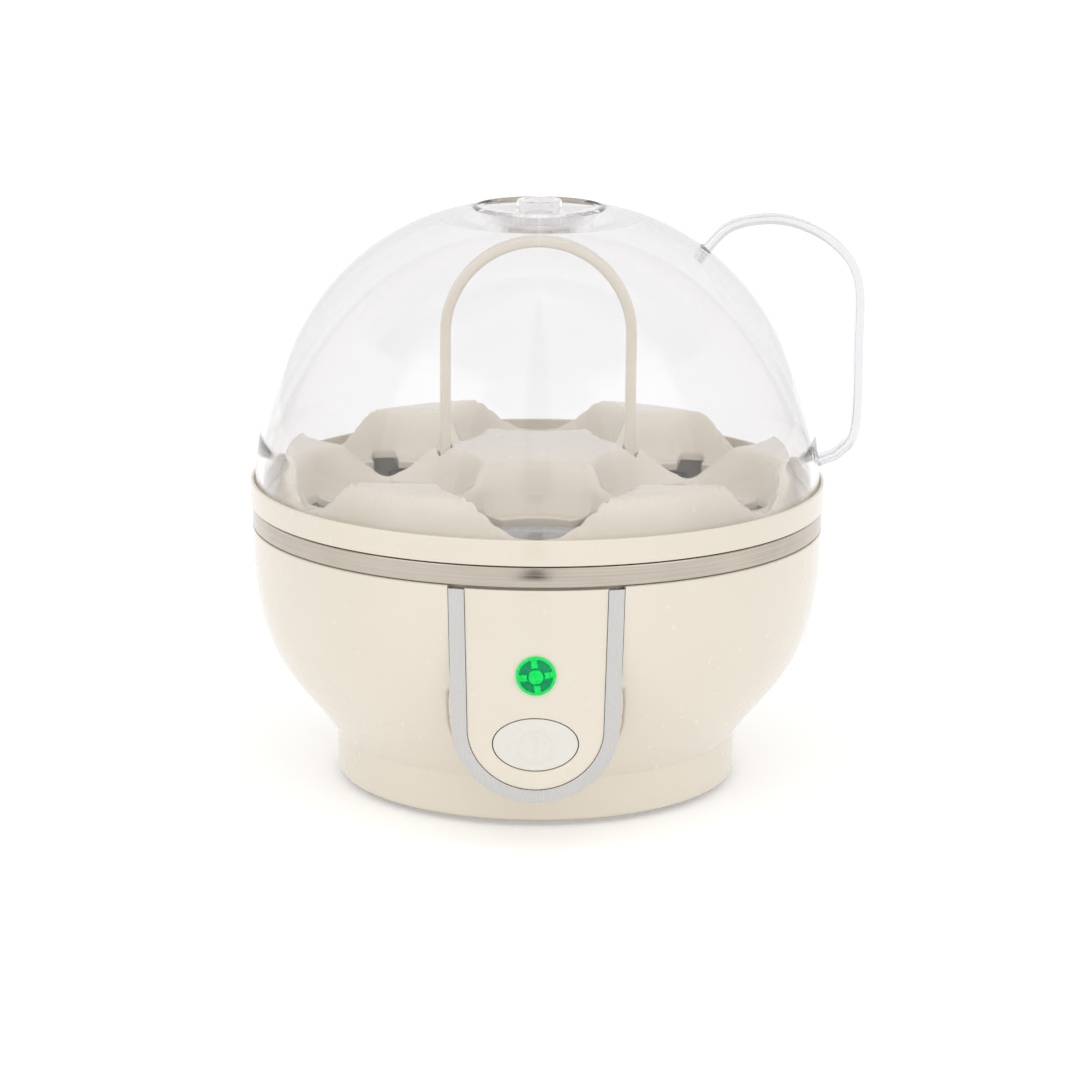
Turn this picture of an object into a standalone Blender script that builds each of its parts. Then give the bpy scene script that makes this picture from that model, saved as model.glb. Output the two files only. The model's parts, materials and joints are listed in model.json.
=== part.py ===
"""Six-egg steam cooker: a bowl-shaped heated base, a lift-out egg tray and a clear domed lid.

The sizes are in millimetres and put_mesh() turns them into metres. +Z is up and the front, with
the lamp and the button, faces -Y. The origin is the middle of the flat underside of the base.
"""
import bpy
import bmesh
import numpy as np
from math import atan2, cos, degrees, hypot, pi, radians, sin, sqrt
from mathutils import Matrix, Vector

METRE = 0.001          # one millimetre in metres
SEGMENTS = 32          # facets round each large turned piece
FIT = 0.3              # gap between pieces that touch or nest
SHARP_ANGLE = 35       # edges steeper than this stay crisp
SCREW_RADIUS = 1.3     # shank of the screws that hold the big pieces
SMALL_SCREW_RADIUS = 1.0

# Base housing
BOWL_RADIUS = 79.7     # outside of the bowl at its widest
FOOT_RADIUS = 56.2     # outside of the foot ring
FOOT_HEIGHT = 12.0     # where the bowl springs from the foot
FOOT_TAPER = 0.8       # the foot's lowest edge is drawn in by this
SEAM_HEIGHT = 71.0     # top of the bowl, where the steel band starts
FLARE_OUT = 11.2       # first handle of the bowl's curve, outward from the foot
FLARE_UP = 17.5        # the same, upward
BELLY_UP = 19.3        # height above the foot where the bowl's side turns upright
HOUSING_WALL = 2.6
BAND_HEIGHT = 5.7
BAND_SHEET = 0.7
SHOULDER_DEPTH = 2.8   # inner shoulder's top, below the seam
SHOULDER_WIDTH = 5.4
SHOULDER_THICKNESS = 2.0
DECK_THICKNESS = 3.0
SEAT_DROP = 4.3        # seat of the heating plate, below the shoulder
SHOULDER_SCREW_ANGLES = (90, 210, 330)

# Front panel, measured on the outside of the bright trim
PANEL_SIDE = 11.1          # from the button's end to the trim's outer edge
PANEL_FLARE = 0.9          # the trim is this much wider, each side, under the band
PANEL_ROUND_HEIGHT = 33.0  # height of that place
PANEL_ROUND_DROP = 20.3    # depth of the round end
TRIM_WIDTH = 4.2
TRIM_LOW_WIDTH = 3.486     # the trim is narrower round the end
TRIM_THICKNESS = 2.1
PANEL_THICKNESS = 1.8
PANEL_LEDGE = 1.6
POCKET_WALL = 2.6
LAMP_HEIGHT = 47.5
LENS_RADIUS = 5.3
BUTTON_HEIGHT = 28.6
BUTTON_HALF_WIDTH = 11.2
BUTTON_HALF_HEIGHT = 7.1
BUTTON_FLANGE = 1.5

# Heating plate and what hangs under it
PLATE_FLANGE_RADIUS = 57.0
PLATE_SHEET = 1.0
PLATE_DEPTH = 8.0
ELEMENT_RING_RADIUS = 30.0
ELEMENT_TUBE_RADIUS = 3.0
ELEMENT_LEG_SPREAD = 8.0
SPREADER_THICKNESS = 2.5
CLAMP_BAR_LENGTH = 70.0
SHIELD_DEPTH = 20.0
SHIELD_SHEET = 0.8
SHIELD_SCREW_INSET = 2.0
ELEMENT_LEG_DROP = 5.0

# Underside
COVER_THICKNESS = 3.0
FOOT_PAD_RADIUS = 5.0
FOOT_PAD_RING = 44.0
FOOT_PAD_DROP = 1.5
BOSS_RING = 45.0
BOSS_RADIUS = 3.6
BOSS_HEIGHT = 24.0
BOSS_ANGLES = (30, 150, 270)
WEB_THICKNESS = 2.4
PAD_COUNT = 4
VENT_COUNT = 6
GLAND_BORE_RADIUS = 3.1
GLAND_HEIGHT = 6.6

# Egg tray
RIM_HEIGHT = 7.0
RIM_PROUD = 0.5        # how far the rim stands outside the bowl
RIM_LIP = 0.9
TRAY_SHEET = 2.2
CUP_RING = 48.0        # distance of the egg places from the middle
CUP_COUNT = 6
CUP_HOLE_WEB = 8.5     # from an egg place's hole to half way to the next place
CUP_NOTCH_WEB = 2.0    # the same, for the four notches of the hole
CUP_WALL_WEB = 3.5     # the same, for the foot of the cup's wall
CUP_FACETS = 24
CUP_WALL_RUN = 6.5
HILL_HEIGHT = 13.0
ARCH_HALF_WIDTH = 25.8     # middle of each leg of the lifting arch
ARCH_RISE = 67.5       # top of the arch, above the rim
ARCH_THICKNESS = 3.0
ARCH_WIDTH = 5.5

# Lid
LID_HEIGHT = 79.1      # dome alone, from its widest level to the peak of its curve
LID_WALL = 1.8
LID_SKIRT_WALL = 2.5
LID_SKIRT_HEIGHT = 13.0
LID_DISH_RADIUS = 17.3
LID_DISH_DEPTH = 4.3
LID_VENT_RADIUS = 4.0
LID_HANDLE_THICKNESS = 2.4
LID_HANDLE_WIDTH = 6.5
LID_HANDLE_OUT = 9.2   # middle of the strap's upright run, outside the bowl
LID_HANDLE_UPPER = 64.3    # upper hook, above the rim
LID_HANDLE_LOWER = 5.1     # lower hook, above the rim

# Levels and radii that follow from the sizes above
BAND_TOP = SEAM_HEIGHT + BAND_HEIGHT
NECK_TOP = BAND_TOP - BAND_SHEET - FIT
NECK_OUTER = BOWL_RADIUS - BAND_SHEET - FIT
NECK_INNER = NECK_OUTER - 2.3
SHOULDER_TOP = SEAM_HEIGHT - SHOULDER_DEPTH
SHOULDER_INNER = NECK_INNER - SHOULDER_WIDTH
DECK_SEAT = SHOULDER_TOP - SEAT_DROP
GASKET_THICKNESS = 1.5
PLATE_FLANGE_BOTTOM = DECK_SEAT + GASKET_THICKNESS + 2 * FIT
PLATE_BOTTOM = PLATE_FLANGE_BOTTOM - PLATE_DEPTH
SPREADER_TOP = PLATE_BOTTOM - FIT
SPREADER_BOTTOM = SPREADER_TOP - SPREADER_THICKNESS
ELEMENT_HEIGHT = SPREADER_BOTTOM - FIT - ELEMENT_TUBE_RADIUS
CLAMP_BAR_TOP = ELEMENT_HEIGHT - ELEMENT_TUBE_RADIUS - FIT
CLAMP_BAR_THICKNESS = 1.5
SHIELD_FLANGE_TOP = DECK_SEAT - DECK_THICKNESS - FIT
SHIELD_BOTTOM = SHIELD_FLANGE_TOP - SHIELD_DEPTH
SHIELD_RADIUS = PLATE_FLANGE_RADIUS - 6.5
PANEL_LOW_WIDTH = BUTTON_HALF_WIDTH + PANEL_SIDE       # half width where the round end starts
PANEL_TOP_WIDTH = PANEL_LOW_WIDTH + PANEL_FLARE        # half width under the band
PANEL_FACE = BOWL_RADIUS - 0.2
TRIM_FACE = BOWL_RADIUS + 0.1
POCKET_FLOOR = TRIM_FACE - TRIM_THICKNESS - FIT
PANEL_BACK = PANEL_FACE - PANEL_THICKNESS
RIM_BOTTOM = BAND_TOP + FIT
RIM_TOP = RIM_BOTTOM + RIM_HEIGHT
RIM_RADIUS = BOWL_RADIUS + RIM_PROUD
TRAY_FLOOR = RIM_BOTTOM + TRAY_SHEET
ARCH_TOP = RIM_TOP + ARCH_RISE
LID_RADIUS = RIM_RADIUS - RIM_LIP - FIT
LID_HANDLE_REACH = BOWL_RADIUS + LID_HANDLE_OUT
CUP_HALF_SPACING = CUP_RING * sin(pi / CUP_COUNT)
CUP_HOLE_RADIUS = CUP_HALF_SPACING - CUP_HOLE_WEB
CUP_NOTCH_RADIUS = CUP_HALF_SPACING - CUP_NOTCH_WEB
CUP_WALL_START = CUP_HALF_SPACING - CUP_WALL_WEB
LID_BOTTOM = TRAY_FLOOR + FIT
LID_SPRING = RIM_TOP - 2.0
LID_PEAK = LID_SPRING + LID_HEIGHT
LID_POWER_UP = 1.8835
LID_POWER_OUT = 2.3559

MATERIALS = {
    "cream_plastic": ((0.80, 0.74, 0.63), 0.22, 0.0),
    "button_plastic": ((0.82, 0.80, 0.76), 0.25, 0.0),
    "dark_plastic": ((0.03, 0.03, 0.03), 0.5, 0.0),
    "natural_plastic": ((0.75, 0.74, 0.70), 0.45, 0.0),
    "clear_plastic": ((0.93, 0.94, 0.95), 0.05, 0.0),
    "green_lens": ((0.0, 0.65, 0.20), 0.08, 0.0),
    "lamp_glass": ((0.7, 0.9, 0.7), 0.1, 0.0),
    "brushed_steel": ((0.60, 0.56, 0.52), 0.32, 1.0),
    "satin_chrome": ((0.72, 0.73, 0.75), 0.22, 1.0),
    "plate_steel": ((0.66, 0.65, 0.63), 0.25, 1.0),
    "zinc_steel": ((0.62, 0.62, 0.60), 0.35, 1.0),
    "aluminium": ((0.78, 0.78, 0.78), 0.4, 1.0),
    "rubber": ((0.05, 0.05, 0.05), 0.8, 0.0),
    "silicone": ((0.72, 0.70, 0.66), 0.6, 0.0),
    "fuse_sleeve": ((0.85, 0.83, 0.78), 0.8, 0.0),
    "wire_brown": ((0.20, 0.08, 0.03), 0.5, 0.0),
    "wire_blue": ((0.03, 0.10, 0.40), 0.5, 0.0),
    "wire_red": ((0.40, 0.03, 0.03), 0.5, 0.0),
    "wire_green": ((0.10, 0.35, 0.05), 0.5, 0.0),
}


# ---------------------------------------------------------------- mesh helpers

def clear_scene():
    for old in list(bpy.data.objects):
        bpy.data.objects.remove(old, do_unlink=True)


def material(name):
    found = bpy.data.materials.get(name)
    if found:
        return found
    colour, roughness, metallic = MATERIALS[name]
    made = bpy.data.materials.new(name)
    made.use_nodes = True
    shader = made.node_tree.nodes["Principled BSDF"]
    shader.inputs["Base Color"].default_value = (*colour, 1.0)
    shader.inputs["Roughness"].default_value = roughness
    shader.inputs["Metallic"].default_value = metallic
    return made


def put_mesh(name, bm, material_name, origin=(0, 0, 0), largest_face=4):
    """Turns a bmesh in millimetres into an object in metres with its origin at the given place."""
    bmesh.ops.recalc_face_normals(bm, faces=bm.faces)
    if bm.calc_volume(signed=True) < 0:
        bmesh.ops.reverse_faces(bm, faces=bm.faces)
    bmesh.ops.triangulate(bm, faces=[face for face in bm.faces if len(face.verts) > largest_face])
    start = Vector(origin)
    bm.transform(Matrix.Scale(METRE, 4) @ Matrix.Translation(-start))
    mesh = bpy.data.meshes.new(name)
    bm.to_mesh(mesh)
    bm.free()
    mesh.shade_smooth()
    mesh.set_sharp_from_angle(angle=radians(SHARP_ANGLE))
    mesh.materials.append(material(material_name))
    made = bpy.data.objects.new(name, mesh)
    made.location = start * METRE
    bpy.context.scene.collection.objects.link(made)
    return made


def as_helper(helper):
    helper.hide_render = True
    helper.display_type = "WIRE"
    return helper


def boolean(target, helper, operation):
    modifier = target.modifiers.new(helper.name, "BOOLEAN")
    modifier.operation = operation
    modifier.object = as_helper(helper)


def ring_surface(bm, rows, close):
    """Skins rows of points; a row of one point is a pole, and close joins the last row to the first."""
    made = [[bm.verts.new(point) for point in row] for row in rows]
    pairs = list(zip(made, made[1:]))
    if close:
        pairs.append((made[-1], made[0]))
    for low, high in pairs:
        count = max(len(low), len(high))
        for i in range(count):
            j = (i + 1) % count
            if len(low) == 1:
                bm.faces.new((low[0], high[j], high[i]))
            elif len(high) == 1:
                bm.faces.new((low[i], low[j], high[0]))
            else:
                bm.faces.new((low[i], low[j], high[j], high[i]))


def turned_bmesh(profile, segments=SEGMENTS, centre=(0, 0, 0), axis="Z"):
    """Turns (radius, height) points round an axis; a point on the axis becomes a pole.

    Small pieces start a third of a facet round, so that their edges don't fall on a large piece's.
    """
    bm = bmesh.new()
    phase = 0 if segments == SEGMENTS else 0.31
    rows = []
    for radius, height in profile:
        if radius < 1e-6:
            rows.append([Vector((0, 0, height))])
            continue
        angles = [2 * pi * (i + phase) / segments for i in range(segments)]
        rows.append([Vector((radius * cos(a), radius * sin(a), height)) for a in angles])
    ring_surface(bm, rows, close=profile[0][0] > 1e-6)
    turn = {"Z": Matrix(), "Y": Matrix.Rotation(radians(-90), 4, "X")}[axis]
    bm.transform(Matrix.Translation(centre) @ turn)
    return bm


def turned(name, profile, material_name, segments=SEGMENTS, centre=(0, 0, 0), axis="Z"):
    return put_mesh(name, turned_bmesh(profile, segments, centre, axis), material_name, centre)


def solid_rod(radius, low, high):
    return [(0, low), (radius, low), (radius, high), (0, high)]


def hollow_rod(inner, outer, low, high):
    return [(inner, low), (outer, low), (outer, high), (inner, high)]


def box_bmesh(low, high):
    bm = bmesh.new()
    bmesh.ops.create_cube(bm, size=1)
    low, high = Vector(low), Vector(high)
    size = high - low
    bm.transform(Matrix.Translation((low + high) / 2) @ Matrix.Diagonal((*size, 1)))
    return bm


def box(name, low, high, material_name):
    return put_mesh(name, box_bmesh(low, high), material_name, (Vector(low) + Vector(high)) / 2)


def slab_bmesh(rows, front, back, columns):
    """A curved plate. Rows hold (half width, height); front and back give radii about Z."""
    bm = bmesh.new()
    sheets = []
    for radius_at in (front, back):
        sheet = []
        for half_width, height in rows:
            radius = radius_at(height)
            xs = [half_width * (2 * i / columns - 1) for i in range(columns + 1)]
            sheet.append([bm.verts.new((x, -sqrt(radius ** 2 - x ** 2), height)) for x in xs])
        sheets.append(sheet)
        for low, high in zip(sheet, sheet[1:]):
            for i in range(columns):
                bm.faces.new((low[i], low[i + 1], high[i + 1], high[i]))
    outer, inner = sheets
    for r in range(len(rows) - 1):
        for c in (0, columns):
            bm.faces.new((outer[r][c], outer[r + 1][c], inner[r + 1][c], inner[r][c]))
    for r in (0, -1):
        for c in range(columns):
            bm.faces.new((outer[r][c], outer[r][c + 1], inner[r][c + 1], inner[r][c]))
    return bm


def slab(name, rows, front, back, material_name, columns=7):
    def as_function(value):
        return value if callable(value) else (lambda height: value)
    return put_mesh(name, slab_bmesh(rows, as_function(front), as_function(back), columns), material_name)


def strap_bmesh(path, thickness, width):
    """A flat strap along (x, z) points in the plane Y = 0."""
    bm = bmesh.new()
    sections = []
    for i, (x, z) in enumerate(path):
        ahead = Vector(path[min(i + 1, len(path) - 1)])
        behind = Vector(path[max(i - 1, 0)])
        along = (ahead - behind).normalized()
        side = Vector((-along.y, along.x)) * thickness / 2
        corners = []
        for sign_side, sign_y in ((1, 1), (1, -1), (-1, -1), (-1, 1)):
            corners.append((x + sign_side * side.x, sign_y * width / 2, z + sign_side * side.y))
        sections.append([bm.verts.new(corner) for corner in corners])
    for low, high in zip(sections, sections[1:]):
        for i in range(4):
            j = (i + 1) % 4
            bm.faces.new((low[i], low[j], high[j], high[i]))
    bm.faces.new(sections[0])
    bm.faces.new(sections[-1])
    return bm


def strap(name, path, thickness, width, material_name):
    return put_mesh(name, strap_bmesh(path, thickness, width), material_name)


def smooth_path(points, steps):
    """Points on the curve that passes through the given ones, with steps between each pair."""
    ends = [tuple(2 * a - b for a, b in zip(points[0], points[1]))]
    ends.append(tuple(2 * a - b for a, b in zip(points[-1], points[-2])))
    padded = np.array([ends[0], *points, ends[1]], float)
    path = []
    for i in range(1, len(padded) - 2):
        a, b, c, d = padded[i - 1:i + 3]
        for t in (np.arange(steps) / steps).tolist():
            curve = 2 * b + (c - a) * t + (2 * a - 5 * b + 4 * c - d) * t ** 2
            path.append((curve + (3 * b - a - 3 * c + d) * t ** 3) / 2)
    path.append(padded[-2])
    return [tuple(float(value) for value in point) for point in path]


def tube(name, path, radius, material_name, resolution=1):
    """A round tube with filled ends along points in space."""
    curve = bpy.data.curves.new(name, "CURVE")
    curve.dimensions = "3D"
    curve.bevel_depth = radius * METRE
    curve.bevel_resolution = resolution
    curve.use_fill_caps = True
    spline = curve.splines.new("POLY")
    spline.points.add(len(path) - 1)
    for point, place in zip(spline.points, path):
        point.co = (*(Vector(place) * METRE), 1)
    curve.materials.append(material(material_name))
    made = bpy.data.objects.new(name, curve)
    bpy.context.scene.collection.objects.link(made)
    return made


def polar(radius, angle, height=0.0):
    return Vector((radius * cos(radians(angle)), radius * sin(radians(angle)), height))


def screw(name, place, length, shank=SCREW_RADIUS, head=2.6, head_height=1.7, axis="Z", point_up=True):
    """A pan-head screw whose head's seat is at place and whose shank runs along the axis."""
    profile = [(0, -head_height), (head * 0.75, -head_height), (head, -head_height * 0.55), (head, 0)]
    profile += [(shank, 0), (shank, length - shank), (0, length)]
    if not point_up:
        profile = [(radius, -height) for radius, height in reversed(profile)]
    return turned(name, profile, "zinc_steel", 8, place, axis)


# ---------------------------------------------------------------- outlines that pieces share

def bowl_curve(count):
    """Points (radius, height) of the bowl's outside, from the foot up to the seam."""
    start = Vector((FOOT_RADIUS, FOOT_HEIGHT))
    first = start + Vector((FLARE_OUT, FLARE_UP))
    second = Vector((BOWL_RADIUS, FOOT_HEIGHT + BELLY_UP))
    end = Vector((BOWL_RADIUS, SEAM_HEIGHT))
    points = []
    for t in np.linspace(0, 1, count).tolist():
        u = 1 - t
        point = start * u ** 3 + first * 3 * t * u * u + second * 3 * t * t * u + end * t ** 3
        points.append((point.x, point.y))
    return points


FINE_BOWL = np.array(bowl_curve(120))


def bowl_radius(height):
    return float(np.interp(height, FINE_BOWL[:, 1], FINE_BOWL[:, 0]))


def panel_rows(inset, top, low_inset=None):
    """Rows (half width, height) of the front panel's outline, moved in by the inset."""
    low_inset = inset if low_inset is None else low_inset
    slope = (PANEL_TOP_WIDTH - PANEL_LOW_WIDTH) / (SEAM_HEIGHT - PANEL_ROUND_HEIGHT)
    rows = []
    for height in np.linspace(top, PANEL_ROUND_HEIGHT, 5).tolist():
        rows.append((PANEL_LOW_WIDTH + slope * (height - PANEL_ROUND_HEIGHT) - inset, height))
    for angle in (16, 32, 46, 58, 69, 79, 86):
        half_width = (PANEL_LOW_WIDTH - inset) * cos(radians(angle))
        drop = (PANEL_ROUND_DROP - low_inset) * sin(radians(angle))
        rows.append((half_width, PANEL_ROUND_HEIGHT - drop))
    return rows


def oval_rows(half_width, half_height, height):
    rows = []
    for angle in (84, 66, 48, 30, 12, -12, -30, -48, -66, -84):
        rows.append((half_width * cos(radians(angle)), height + half_height * sin(radians(angle))))
    return rows


def dome_radius(height, radius):
    """Radius of the lid's dome at a height above its widest level."""
    share = min(max(height / LID_HEIGHT, 0), 1)
    return radius * max(1 - share ** LID_POWER_UP, 0) ** (1 / LID_POWER_OUT)


def cup_centres():
    return [polar(CUP_RING, -90 + 360 * i / CUP_COUNT) for i in range(CUP_COUNT)]


# ---------------------------------------------------------------- base housing

def base_housing():
    outer = [(FOOT_RADIUS - FOOT_TAPER, 0), (FOOT_RADIUS, 3), *bowl_curve(9)]
    neck = [(NECK_OUTER, SEAM_HEIGHT), (NECK_OUTER, NECK_TOP), (NECK_INNER, NECK_TOP)]
    shelf_bottom = SHOULDER_TOP - SHOULDER_THICKNESS
    shoulder = [(NECK_INNER, SHOULDER_TOP), (SHOULDER_INNER, SHOULDER_TOP)]
    shoulder += [(SHOULDER_INNER, shelf_bottom), (bowl_radius(shelf_bottom) - HOUSING_WALL, shelf_bottom)]
    inner = [(r - HOUSING_WALL, z) for r, z in reversed(bowl_curve(7)) if z < shelf_bottom - 3]
    foot = [(FOOT_RADIUS - HOUSING_WALL, 3), (FOOT_RADIUS - FOOT_TAPER - HOUSING_WALL, 0)]
    housing = turned("base_housing", outer + neck + shoulder + inner + foot, "cream_plastic")

    def tongue_back(height):
        return min(bowl_radius(height) - 1.2, POCKET_FLOOR - POCKET_WALL)

    tongue = slab("tongue", panel_rows(0, PANEL_ROUND_HEIGHT + 20), POCKET_FLOOR + 1.5, tongue_back,
                  "cream_plastic", 5)
    boolean(housing, tongue, "UNION")
    frame_rows = [row for row in panel_rows(-2.6, SHOULDER_TOP - 0.7) if row[1] > PANEL_ROUND_HEIGHT - 0.1]
    frame = slab("pocket_frame", frame_rows, lambda z: bowl_radius(z) - 1.0,
                 lambda z: bowl_radius(z) - 5.6, "cream_plastic", 5)
    boolean(housing, frame, "UNION")
    for i, angle in enumerate(BOSS_ANGLES):
        centre = polar(BOSS_RING, angle)
        post = solid_rod(BOSS_RADIUS, COVER_THICKNESS + FIT, BOSS_HEIGHT)
        boolean(housing, turned(f"boss_{i}", post, "cream_plastic", 12, centre), "UNION")
        web = box_bmesh((BOSS_RING + 1, -WEB_THICKNESS / 2, 5),
                        (FOOT_RADIUS - HOUSING_WALL / 2, WEB_THICKNESS / 2, BOSS_HEIGHT - 4))
        web.transform(Matrix.Rotation(radians(angle), 4, "Z"))
        boolean(housing, put_mesh(f"web_{i}", web, "cream_plastic"), "UNION")

    def pocket_back(height):
        above = max(0, height - (SEAM_HEIGHT - FIT)) / (0.5 + FIT)
        return POCKET_FLOOR + above * (NECK_OUTER + FIT - POCKET_FLOOR)

    pocket_rows = [(PANEL_TOP_WIDTH + FIT, SEAM_HEIGHT + 0.5), *panel_rows(-FIT, SEAM_HEIGHT - FIT)]
    boolean(housing, slab("pocket", pocket_rows, BOWL_RADIUS + 10, pocket_back, "cream_plastic"),
            "DIFFERENCE")
    room_top = SHOULDER_TOP - SHOULDER_THICKNESS - 4
    room = slab("tongue_room", panel_rows(2.4, room_top), POCKET_FLOOR - POCKET_WALL + 0.1,
                lambda z: min(bowl_radius(z) - HOUSING_WALL, POCKET_FLOOR - POCKET_WALL - 1) - 5,
                "cream_plastic", 4)
    boolean(housing, room, "DIFFERENCE")
    window = slab("panel_window", panel_rows(TRIM_WIDTH + PANEL_LEDGE + FIT, room_top - 3),
                  BOWL_RADIUS + 5, POCKET_FLOOR - POCKET_WALL - 1.4, "cream_plastic", 3)
    boolean(housing, window, "DIFFERENCE")
    for i, angle in enumerate(BOSS_ANGLES):
        hole = solid_rod(SCREW_RADIUS + FIT, COVER_THICKNESS - 1, BOSS_HEIGHT - 8)
        boolean(housing, turned(f"boss_hole_{i}", hole, "cream_plastic", 8, polar(BOSS_RING, angle)),
                "DIFFERENCE")
    for i, angle in enumerate(SHOULDER_SCREW_ANGLES):
        centre = polar((SHOULDER_INNER + NECK_INNER) / 2, angle)
        hole = solid_rod(SCREW_RADIUS + FIT, SHOULDER_TOP - SHOULDER_THICKNESS - 1, SHOULDER_TOP + 1)
        boolean(housing, turned(f"shoulder_hole_{i}", hole, "cream_plastic", 8, centre), "DIFFERENCE")
    gland_hole = turned("gland_hole", solid_rod(GLAND_BORE_RADIUS + 1.2, -8, 8), "cream_plastic", 16,
                        (0, FOOT_RADIUS, GLAND_HEIGHT), "Y")
    boolean(housing, gland_hole, "DIFFERENCE")
    return housing


def steel_band():
    inner = BOWL_RADIUS - BAND_SHEET
    bottom = SEAM_HEIGHT + FIT
    profile = [(inner, bottom), (BOWL_RADIUS, bottom), (BOWL_RADIUS, BAND_TOP), (NECK_INNER, BAND_TOP)]
    profile += [(NECK_INNER, BAND_TOP - BAND_SHEET), (inner, BAND_TOP - BAND_SHEET)]
    return turned("steel_band", profile, "brushed_steel")


# ---------------------------------------------------------------- front panel, lamp and switch

def panel_trim():
    top = SEAM_HEIGHT - 0.8
    outer = panel_rows(0, top)
    inner = panel_rows(TRIM_WIDTH, top, TRIM_LOW_WIDTH)
    path = [((-wo, zo), (-wi, zi)) for (wo, zo), (wi, zi) in zip(outer, inner)]
    path += [((wo, zo), (wi, zi)) for (wo, zo), (wi, zi) in reversed(list(zip(outer, inner)))]
    bm = bmesh.new()
    sections = []
    for outside, inside in path:
        section = []
        for (x, z), radius in ((outside, TRIM_FACE), (outside, POCKET_FLOOR + FIT),
                               (inside, POCKET_FLOOR + FIT), (inside, TRIM_FACE)):
            section.append(bm.verts.new((x, -sqrt(radius ** 2 - x ** 2), z)))
        sections.append(section)
    for low, high in zip(sections, sections[1:]):
        for i in range(4):
            j = (i + 1) % 4
            bm.faces.new((low[i], low[j], high[j], high[i]))
    bm.faces.new(sections[0])
    bm.faces.new(sections[-1])
    return put_mesh("panel_trim", bm, "satin_chrome")


POST_SPREAD = BUTTON_HALF_WIDTH - 1.2
POST_HEIGHT = BUTTON_HEIGHT + BUTTON_HALF_HEIGHT + BUTTON_FLANGE + 3.3
BUTTON_BACK = PANEL_BACK - FIT
STEM_LENGTH = 5.0
BRACKET_FRONT = -(BUTTON_BACK - 1.2 - STEM_LENGTH - FIT - 1.5)
BRACKET_THICKNESS = 1.5
LENS_BODY_RADIUS = LENS_RADIUS - 0.7


def front_panel():
    inset = TRIM_WIDTH + FIT
    rows = panel_rows(inset, SEAM_HEIGHT - 2 * FIT, TRIM_LOW_WIDTH + FIT)
    panel = slab("front_panel", rows, PANEL_FACE, PANEL_BACK, "cream_plastic")
    for i, side in enumerate((-1, 1)):
        post = box_bmesh((side * POST_SPREAD - 2.2, -(PANEL_BACK + 1), POST_HEIGHT - 2.2),
                         (side * POST_SPREAD + 2.2, BRACKET_FRONT - FIT, POST_HEIGHT + 2.2))
        boolean(panel, put_mesh(f"panel_post_{i}", post, "cream_plastic"), "UNION")
        hole = solid_rod(SMALL_SCREW_RADIUS + FIT, BRACKET_FRONT - 6, BRACKET_FRONT + 2)
        centre = (side * POST_SPREAD, 0, POST_HEIGHT)
        boolean(panel, turned(f"post_hole_{i}", hole, "cream_plastic", 8, centre, "Y"), "DIFFERENCE")
    lens_hole = turned("lens_hole", solid_rod(LENS_BODY_RADIUS + FIT, -BOWL_RADIUS - 9, -PANEL_BACK + 9),
                       "cream_plastic", 20, (0, 0, LAMP_HEIGHT), "Y")
    boolean(panel, lens_hole, "DIFFERENCE")
    rows = oval_rows(BUTTON_HALF_WIDTH + FIT, BUTTON_HALF_HEIGHT + FIT, BUTTON_HEIGHT)
    boolean(panel, slab("button_hole", rows, PANEL_FACE + 5, PANEL_BACK - 1, "cream_plastic"),
            "DIFFERENCE")
    return panel


def indicator():
    face = -(PANEL_FACE + FIT)
    back = -PANEL_BACK + 3
    lens = [(0, face - 1.4), (LENS_RADIUS * 0.6, face - 1.2),
            (LENS_RADIUS, face - 0.5), (LENS_RADIUS, face)]
    lens += [(LENS_BODY_RADIUS, face), (LENS_BODY_RADIUS, back), (3.2, back), (3.2, face + 1.5)]
    lens += [(0, face + 1.5)]
    turned("indicator_lens", lens, "green_lens", 20, (0, 0, LAMP_HEIGHT), "Y")
    lamp = [(0, face + 2.2), (1.6, face + 2.6), (2.2, face + 3.6), (2.2, back + 6), (0, back + 6)]
    turned("indicator_lamp", lamp, "lamp_glass", 12, (0, 0, LAMP_HEIGHT), "Y")
    holder = hollow_rod(2.2 + FIT, 3.8, back + FIT, back + 4)
    turned("lamp_holder", holder, "dark_plastic", 14, (0, 0, LAMP_HEIGHT), "Y")


def power_button():
    rows = oval_rows(BUTTON_HALF_WIDTH, BUTTON_HALF_HEIGHT, BUTTON_HEIGHT)
    button = slab("power_button", rows, PANEL_FACE + 0.1, BUTTON_BACK - 0.6, "button_plastic")
    rows = oval_rows(BUTTON_HALF_WIDTH + BUTTON_FLANGE, BUTTON_HALF_HEIGHT + BUTTON_FLANGE, BUTTON_HEIGHT)
    boolean(button, slab("button_flange", rows, BUTTON_BACK, BUTTON_BACK - 1.2, "button_plastic"), "UNION")
    stem = box_bmesh((-3, -BUTTON_BACK + 0.6, BUTTON_HEIGHT - 3),
                     (3, -BUTTON_BACK + 1.2 + STEM_LENGTH, BUTTON_HEIGHT + 3))
    boolean(button, put_mesh("button_stem", stem, "button_plastic"), "UNION")
    return button


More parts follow.
